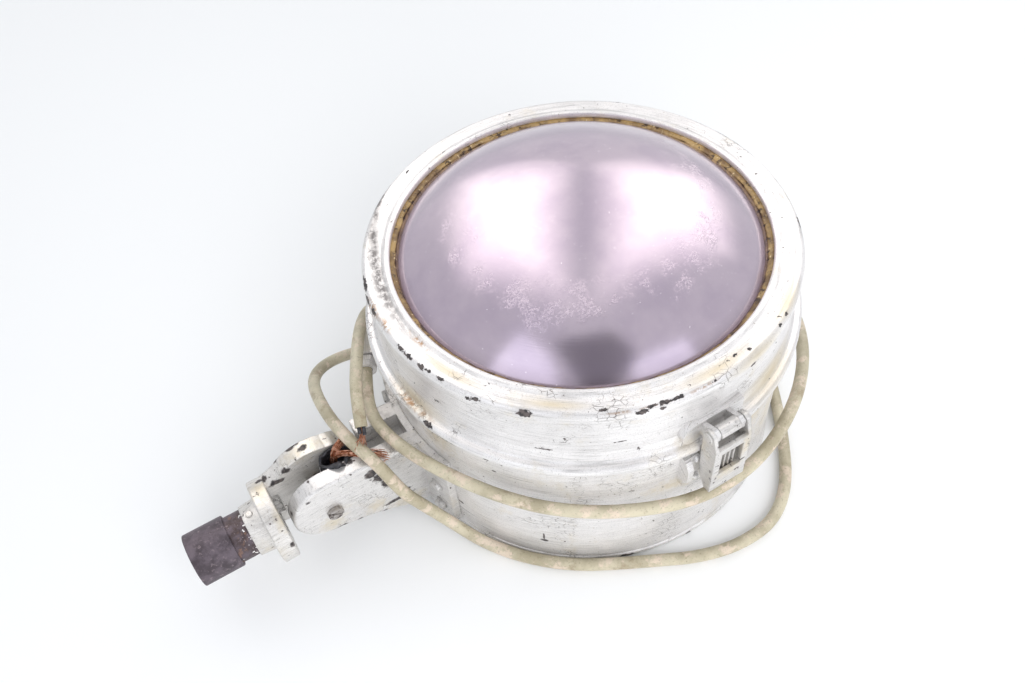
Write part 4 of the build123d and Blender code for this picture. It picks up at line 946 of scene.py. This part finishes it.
def oxidised_steel(name, tint, rust_from, flecks):
    """Mill-scaled steel tube: violet-brown oxide, orange rust in patches, splashes of the paint."""
    material, tree, shader, place = begin_material(name)
    scale = speckle(tree, place, 90, 5, 0.65, 0.35, 0.65)
    tone = coat(tree, tint, "#6e646b", scale)
    worn = speckle(tree, place, 300, 4, 0.6, 0.56, 0.72)
    tone = coat(tree, tone, "#96888c", worn, 0.6)
    rust = speckle(tree, place, 130, 5, 0.7, rust_from, rust_from + 0.12)
    tone = coat(tree, tone, "#7d5f4e", rust, 0.85)
    along = add(tree, "ShaderNodeSeparateXYZ", {"Vector": place}).outputs[0]
    overspray_ends, overspray_starts = -0.319, -0.311
    near_paint = add(
        tree, "ShaderNodeMapRange",
        {"Value": along, "From Min": overspray_ends, "From Max": overspray_starts, "To Max": 0.13},
    ).outputs[0]
    cloud = add(tree, "ShaderNodeTexNoise", {"Vector": place, "Scale": 330.0, "Detail": 3.0}).outputs["Fac"]
    white = add(
        tree, "ShaderNodeMapRange",
        {"Value": raised(tree, near_paint, cloud, 1.0), "From Min": flecks, "From Max": flecks + 0.03},
    ).outputs[0]
    tone = coat(tree, tone, "#e4e1de", white)
    feed(
        tree, shader,
        {
            "Base Color": tone,
            "Metallic": add(
                tree, "ShaderNodeMapRange", {"Value": highest(tree, rust, white), "To Min": 0.55, "To Max": 0.0}
            ).outputs[0],
            "Roughness": add(
                tree, "ShaderNodeMapRange", {"Value": scale, "To Min": 0.42, "To Max": 0.6}
            ).outputs[0],
        },
    )
    pitted = bumped(tree, shader, scale, 0.0006, 0.5)
    bumped(tree, shader, worn, 0.00025, 0.6, pitted)
    return material


finish_nodes(oxidised_steel("oxidised steel coupling", "#4e464b", 0.66, 0.78), "conduit_coupling")
finish_nodes(oxidised_steel("rusted conduit", "#4b3f3e", 0.55, 0.70), "conduit_nipple")

# ---------------------------------------------------------------------------------------------
# Door ring: cast aluminium alloy, turned on its face, brush-painted like the drum.  Knocks have
# bared the primer along its outer corner, and an old scrape runs across the face.
# ---------------------------------------------------------------------------------------------


def rounded(corners):
    """Closed outline in mm from (radius, height, corner radius), with an arc at each rounded corner."""
    outline = []
    for index, (r, z, fillet) in enumerate(corners):
        here = Vector((r, z))
        back = Vector(corners[index - 1][:2]) - here
        ahead = Vector(corners[(index + 1) % len(corners)][:2]) - here
        if fillet <= 0:
            outline.append(here)
            continue
        half = back.angle(ahead) / 2
        reach = fillet / math.tan(half)
        start, end = here + back.normalized() * reach, here + ahead.normalized() * reach
        centre = here + (back.normalized() + ahead.normalized()).normalized() * (fillet / math.sin(half))
        steps = max(3, int(fillet * 1.6) + 2)
        first, last = start - centre, end - centre
        sweep = first.angle_signed(last)
        for step in range(steps + 1):
            angle = -sweep * step / steps
            outline.append(centre + Vector((
                first.x * math.cos(angle) - first.y * math.sin(angle),
                first.x * math.sin(angle) + first.y * math.cos(angle),
            )))
    return outline


def subdivided(outline, longest):
    """Split long straight runs so that no step is longer than the given length."""
    fine = []
    for index, point in enumerate(outline):
        nxt = outline[(index + 1) % len(outline)]
        parts = max(1, math.ceil((nxt - point).length / longest))
        fine += [point.lerp(nxt, part / parts) for part in range(parts)]
    return fine


def turned(name, outline, segments, material, shake=0.0, seed=0.0):
    """Lathe a closed outline about the beam axis; shake is how far hand work moves the surface, in mm."""
    vertices, faces = [], []
    count = len(outline)
    for segment in range(segments):
        bearing = 2 * math.pi * segment / segments
        for point in outline:
            spot = Vector((math.cos(bearing) * point.x, math.sin(bearing) * point.x, point.y))
            if shake:
                push = noise.noise(spot / 26 + Vector((seed, 0, 0))) * shake
                spot += Vector((math.cos(bearing), math.sin(bearing), 0)) * push
            vertices.append(spot * MM)
    for segment in range(segments):
        nxt = (segment + 1) % segments
        for index in range(count):
            after = (index + 1) % count
            faces.append(
                (segment * count + index, nxt * count + index, nxt * count + after, segment * count + after)
            )
    return mesh_object(name, vertices, faces, material)


door_paint = aluminium_paint(
    "aluminium paint on cast door ring", light="#e8e6e4", dark="#d2d0ce", cracks=0.5, specks=0.63, attributes=True
)
DOOR_OUTLINE = [  # radius, height, corner radius
    (160.4, 142, 0), (172.5, 142, 3.8), (172.5, 150, 3.6), (165.6, 151.2, 2.5), (163.4, 161, 6),
    (163.4, 195.8, 0.8), (165, 197.2, 0.8), (165, 207, 5.5), (149.8, 206.5, 3.0), (146.2, 208.2, 2.0),
    (143, 208.3, 1.7), (143, 203.2, 0.6), (160.4, 203.2, 4),
]
DOOR_CHIPS = [  # bearing, radius, height, half length, half width
    (
        224, 164.2, 204.5, 5, 2.6
    ), (212, 163.9, 204.8, 3, 1.3), (187.5, 163, 206, 4, 1.4), (191, 163, 206, 3, 1.6),
    (195.5, 163, 205.8, 3, 1.6), (198, 162.3, 206.4, 2, 1.2), (
        201.5, 162.3, 206.4, 3, 1.2
    ), (210, 164.6, 203, 2, 1.2),
    (256, 162.6, 206.2, 4.5, 1.5), (259.6, 162.6, 206.2, 4, 1.5), (250.5, 164.4, 204.2, 4.5, 1.7),
    (
        255.5, 165, 203.2, 2.2, 1.3
    ), (253, 162.8, 206, 3, 1.1), (297, 163, 206, 2.2, 1.4), (293, 163, 206, 1.8, 1.2),
    (281, 165, 199, 3, 1.3), (278, 155, 206.8, 2, 1.2), (
        282, 158, 206.9, 1.6, 1.2
    ), (163, 163.4, 205.6, 8, 1.7),
    (
        168, 164.6, 203.6, 5, 1.5
    ), (173, 163.6, 205, 4, 1.6), (203, 172.2, 144, 10, 1.6), (197, 171.8, 149, 4, 2.2),
    (214, 172.4, 145, 2, 1.3), (218, 172, 143.5, 4, 1.0), (228, 163.4, 163, 6, 0.8), (246, 163.4, 172, 4, 0.7),
    (
        105, 147.5, 207, 2, 1.2
    ), (118, 158, 207, 2, 1), (45, 163, 206, 6, 1.6), (10, 164, 205, 5, 1.6), (330, 164, 205, 7, 1.5),
    (75, 172.3, 146, 6, 1.5), (350, 172.2, 145, 5, 1.4), (310, 172.3, 147, 4, 1.2), (140, 172.3, 146, 5, 1.4),
    (242, 160, 206.8, 3, 1.1), (
        269, 162.6, 206.4, 2.2, 0.9
    ), (235, 163.4, 198.5, 3, 0.9), (199, 163.4, 175, 3, 1.0),
]
DOOR_SCUFF = [  # bearing, radius and half width of the scrape on the face
    (124, 164.0, 1.4), (134, 161.5, 2.2), (142, 158.0, 3.2), (151, 155.0, 4.2), (159, 153.0, 5.0),
    (167, 152.0, 5.6), (176, 151.5, 5.2), (186, 151.0, 4.0), (196, 151.0, 2.4),
]
DOOR_RUST = [(172, 163.5, 204.5, 14, 4.5), (179, 161, 206.5, 9, 3), (246, 163, 206, 14, 1.0), (256, 163, 206, 26, 1.1),
             (266, 162.6, 206.3, 14, 1.2), (189, 150, 206.8, 12, 2.5), (190, 168, 151.5, 22, 4), (60, 163, 206, 20, 1.2)]
DOOR_STAIN = [(190, 165, 155, 30, 9), (292, 165, 156, 34, 12), (283, 163, 203, 26, 5), (202, 155, 206.8, 26, 4),
              (272, 156, 206.8, 30, 5), (230, 156, 206.8, 22, 4), (300, 160, 206.5, 24, 5), (30, 165, 158, 30, 10)]


def near_marks(spot_bearing, spot_radius, spot_height, marks):
    """How strongly the nearest of several long marks covers a spot, from 0 to 1."""
    best = 0.0
    for bearing, radius, height, half_length, half_width in marks:
        off = (spot_bearing - bearing + 180) % 360 - 180
        along = math.radians(off) * radius / half_length
        if abs(along) > 1.6:
            continue
        aside = math.hypot(spot_radius - radius, spot_height - height) / half_width
        best = max(best, 1 - 0.5 * math.hypot(along, aside))
    return best


def wear_attributes(made):
    """Write the door's chips, scrape, rust and stains on its mesh, one number for each vertex."""
    levels = {"chip": [], "scuff": [], "rust": [], "stain": []}
    for vertex in made.data.vertices:
        x, y, z = vertex.co / MM
        radius, bearing = math.hypot(x, y), math.degrees(math.atan2(y, x)) % 360
        levels["chip"].append(near_marks(bearing, radius, z, DOOR_CHIPS))
        rust = near_marks(bearing, radius, z, DOOR_RUST)
        levels["rust"].append(min(1.0, 2 * max(0.0, rust - 0.4)))
        stain = near_marks(bearing, radius, z, DOOR_STAIN)
        levels["stain"].append(min(1.0, 1.6 * max(0.0, stain - 0.35)))
        scuff = 0.0
        if z > 203:
            for (b0, r0, w0), (b1, r1, w1) in zip(DOOR_SCUFF, DOOR_SCUFF[1:]):
                if b0 <= bearing <= b1:
                    share = (bearing - b0) / (b1 - b0)
                    line, width = r0 + (r1 - r0) * share, w0 + (w1 - w0) * share
                    fading = min(1.0, (196 - bearing) / 30)
                    scuff = max(0.0, 1.3 - abs(radius - line) / width) * fading
        levels["scuff"].append(min(1.0, scuff))
    for name, numbers in levels.items():
        made.data.attributes.new(name, "FLOAT", "POINT").data.foreach_set("value", numbers)


door_ring = turned("door_ring", subdivided(rounded(DOOR_OUTLINE), 1.5), 520, door_paint, 0.22, 4.0)
wear_attributes(door_ring)
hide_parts("bezel")
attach(door_ring, "door")
finish_nodes(door_paint, "hinge_door_lug", "latch_boss")

# ---------------------------------------------------------------------------------------------
# Domed glass: pressed, turned violet by years of sun, with a metallic sheen on its outside that
# has worn to a mottled ring round the crown.  Fine turning lines follow its rim.
# ---------------------------------------------------------------------------------------------


def violet_dome_glass():
    """Silvered violet glass: a soft violet mirror, hazier and paler where the sheen is worn, darkened towards its rim
    by a painted reflection.
    """
    material, tree, shader, place = begin_material("sun-violet silvered glass")
    axes = add(tree, "ShaderNodeSeparateXYZ", {"Vector": place}).outputs
    off_axis = off_axis_distance(tree, place)
    warp = add(
        tree, "ShaderNodeTexNoise", {"Vector": place, "Scale": 38.0, "Detail": 4.0, "Roughness": 0.6}
    ).outputs["Fac"]
    at = wavering(tree, off_axis, warp, 0.045)
    rising = add(
        tree, "ShaderNodeMapRange", {"Value": at, "From Min": 0.072, "From Max": 0.092},
        interpolation_type="SMOOTHSTEP",
    ).outputs[0]
    falling = add(
        tree, "ShaderNodeMapRange",
        {
            "Value": at, "From Min": 0.098, "From Max": 0.108, "To Min": 1.0, "To Max": 0.0
        }, interpolation_type="SMOOTHSTEP",
    ).outputs[0]
    facing = add(
        tree, "ShaderNodeMapRange", {"Value": axes[1], "From Min": 0.07, "From Max": -0.04, "To Min": 0.25}
    ).outputs[0]
    band = overlap(tree, rising, falling, facing)
    clumps = speckle(tree, place, 70, 4, 0.65, 0.40, 0.60)
    mottle = overlap(tree, speckle(tree, place, 520, 6, 0.76, 0.45, 0.64), clumps)
    worn = overlap(tree, band, mottle)
    tone = coat(tree, "#c6b8c3", "#b9abb9", speckle(tree, place, 18, 4, 0.6, 0.35, 0.65))
    # Painted reflection: the glass is darkened towards its rim, a dark band standing in for the door lip mirrored in
    # it.
    edge = add(
        tree, "ShaderNodeMapRange", {"Value": off_axis, "From Min": 0.130, "From Max": 0.1415}
    ).outputs[0]
    tone = coat(tree, tone, "#8f8189", edge, 0.6)
    tone = coat(tree, tone, "#dccbd6", worn, 0.5)
    dots = speckle(tree, place, 620, 2, 0.5, 0.735, 0.75)
    tone = coat(tree, tone, "#efe6ec", dots, 0.8)
    feed(tree, shader, {"Base Color": tone, "Metallic": 0.82})
    smear = add(
        tree, "ShaderNodeTexNoise",
        {
            "Vector": add(tree, "ShaderNodeMapping", {"Vector": place, "Scale": (9, 9, 9)}).outputs[0],
            "Scale": 1.0, "Detail": 5.0,
        },
    ).outputs["Fac"]
    rings = add(
        tree, "ShaderNodeTexNoise", {"W": off_axis, "Scale": 1400.0, "Detail": 3.0}, noise_dimensions="1D"
    ).outputs["Fac"]
    rough = add(
        tree, "ShaderNodeMapRange",
        {"Value": smear, "From Min": 0.35, "From Max": 0.65, "To Min": 0.11, "To Max": 0.19},
    ).outputs[0]
    rough = wavering(tree, raised(tree, rough, worn, 0.22), rings, 0.10)
    feed(tree, shader, {"Roughness": rough, "Coat Weight": 0.25, "Coat Roughness": 0.12})
    lined = bumped(tree, shader, rings, 0.00003, 0.35)
    bumped(tree, shader, worn, 0.00012, 0.6, lined)
    return material


DOME_RADIUS = 202.3
GLASS_RIM_RADIUS = 141.5
GLASS_RIM_HEIGHT = 199.2
dome_centre = GLASS_RIM_HEIGHT - math.sqrt(DOME_RADIUS**2 - GLASS_RIM_RADIUS**2)


def capped_lathe(name, outline, segments, material):
    """Lathe an outline that starts and ends on the beam axis, with one vertex at each pole."""
    vertices = [Vector((0, 0, outline[0].y)) * MM]
    middle = outline[1:-1]
    for segment in range(segments):
        bearing = 2 * math.pi * segment / segments
        vertices += [Vector((math.cos(bearing) * p.x, math.sin(bearing) * p.x, p.y)) * MM for p in middle]
    vertices.append(Vector((0, 0, outline[-1].y)) * MM)
    count, last = len(middle), len(vertices) - 1
    faces = []
    for segment in range(segments):
        here, nxt = 1 + segment * count, 1 + ((segment + 1) % segments) * count
        faces.append((0, here, nxt))
        faces += [(here + i, here + i + 1, nxt + i + 1, nxt + i) for i in range(count - 1)]
        faces.append((here + count - 1, last, nxt + count - 1))
    return mesh_object(name, vertices, faces, material)


def dome_outline():
    """Outside from the crown down to the rim, round the flange, and back up the inside."""
    rim_angle = math.asin(GLASS_RIM_RADIUS / DOME_RADIUS)
    inner = DOME_RADIUS - 5.0
    flange_bottom = GLASS_RIM_HEIGHT - 5.0
    inner_angle = math.acos((flange_bottom - dome_centre) / inner)
    steps = 44
    outside = [
        Vector(
            (
                DOME_RADIUS * math.sin(rim_angle * i / steps),
                dome_centre + DOME_RADIUS * math.cos(rim_angle * i / steps),
            ),
        )
        for i in range(steps + 1)
    ]
    flange = [
        Vector((148.6, GLASS_RIM_HEIGHT)), Vector((149, GLASS_RIM_HEIGHT - 0.4)), Vector((149, flange_bottom))
    ]
    inside = [
        Vector(
            (inner * math.sin(inner_angle * i / steps), dome_centre + inner * math.cos(inner_angle * i / steps))
        )
        for i in range(steps, -1, -1)
    ]
    return outside + flange + inside


violet_glass = violet_dome_glass()
dome = capped_lathe("domed_glass", dome_outline(), 256, violet_glass)
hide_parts("front_glass")
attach(dome, "door")

# ---------------------------------------------------------------------------------------------
# Glazing: a bead of linseed putty between glass and door lip, gone hard and gold-brown, crumbled
# on top; inside, a steel ring held up by six tabs and their screws.
# ---------------------------------------------------------------------------------------------


def old_putty():
    """Hardened linseed putty with old varnish: golden where it is thick, dark in the cracks."""
    material, tree, shader, place = begin_material("hardened linseed putty")
    tone = coat(tree, "#7d6240", "#b99a63", speckle(tree, place, 70, 5, 0.65, 0.38, 0.62))
    tone = coat(tree, tone, "#e6cf9f", speckle(tree, place, 330, 4, 0.6, 0.6, 0.7))
    tone = coat(tree, tone, "#46331f", speckle(tree, place, 170, 5, 0.66, 0.53, 0.62))
    feed(tree, shader, {"Base Color": tone, "Roughness": 0.5})
    lumps = add(
        tree, "ShaderNodeTexNoise", {"Vector": place, "Scale": 260.0, "Detail": 5.0, "Roughness": 0.65}
    ).outputs["Fac"]
    bumped(tree, shader, lumps, 0.001, 0.8)
    return material


putty = old_putty()


def putty_bead():
    """A closed ring whose top is a slope from the glass up to the lip, pressed uneven by a knife."""
    corners = [(141.0, 199.3), (150, 199.25), (150, 203.15), (146, 203.15), (142.8, 203.15),
               (141.2, 203.0), (139.6, 202.4), (138.9, 201.6)]
    outline = subdivided([Vector(c) for c in corners], 1.2)
    bead = turned("glazing_putty_bead", outline, 720, putty)
    for vertex in bead.data.vertices:
        spot = vertex.co / MM
        off_axis = math.hypot(spot.x, spot.y)
        if off_axis < 142.9:
            lump = noise.noise(spot / 5.0) * 0.45 + noise.noise(spot / 1.8) * 0.25
            if spot.z > 199.4:
                vertex.co.z += lump * MM
            ragged = 1 + (noise.noise(spot / 9.0) * 1.1 + noise.noise(spot / 2.5) * 0.5) / off_axis
            vertex.co.x *= ragged
            vertex.co.y *= ragged
    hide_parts("glass_putty")
    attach(bead, "door")


putty_bead()
finish_nodes(zinc, "glass_ring", "glass_clips", "glass_clip_screws")

# ---------------------------------------------------------------------------------------------
# Door latch: a toggle of cast and pressed brass, painted over with the door.  The lever turns on
# a pin in the door's boss and pulls a ribbed link that hooks under the keeper on the drum.
# ---------------------------------------------------------------------------------------------
latch_paint = aluminium_paint(
    "aluminium paint on brass latch", light="#d4d1cc", dark="#aeaba6", round_body=False, cracks=0.3, specks=0.56,
    chips=[
        ((-18, -186, 128), (3, 3, 4)), ((-14, -188, 172), (4, 2, 2)), ((10, -187, 132), (5, 2, 1.2)),
        ((-18, -180, 108), (2, 4, 3)),
    ],
    stains=[((0, -187, 128), (14, 5, 10)), ((12, -187, 150), (6, 5, 20))],
)
finish_nodes(latch_paint, "latch_lever", "latch_link", "latch_roller", "latch_pin", "latch_link_pin")
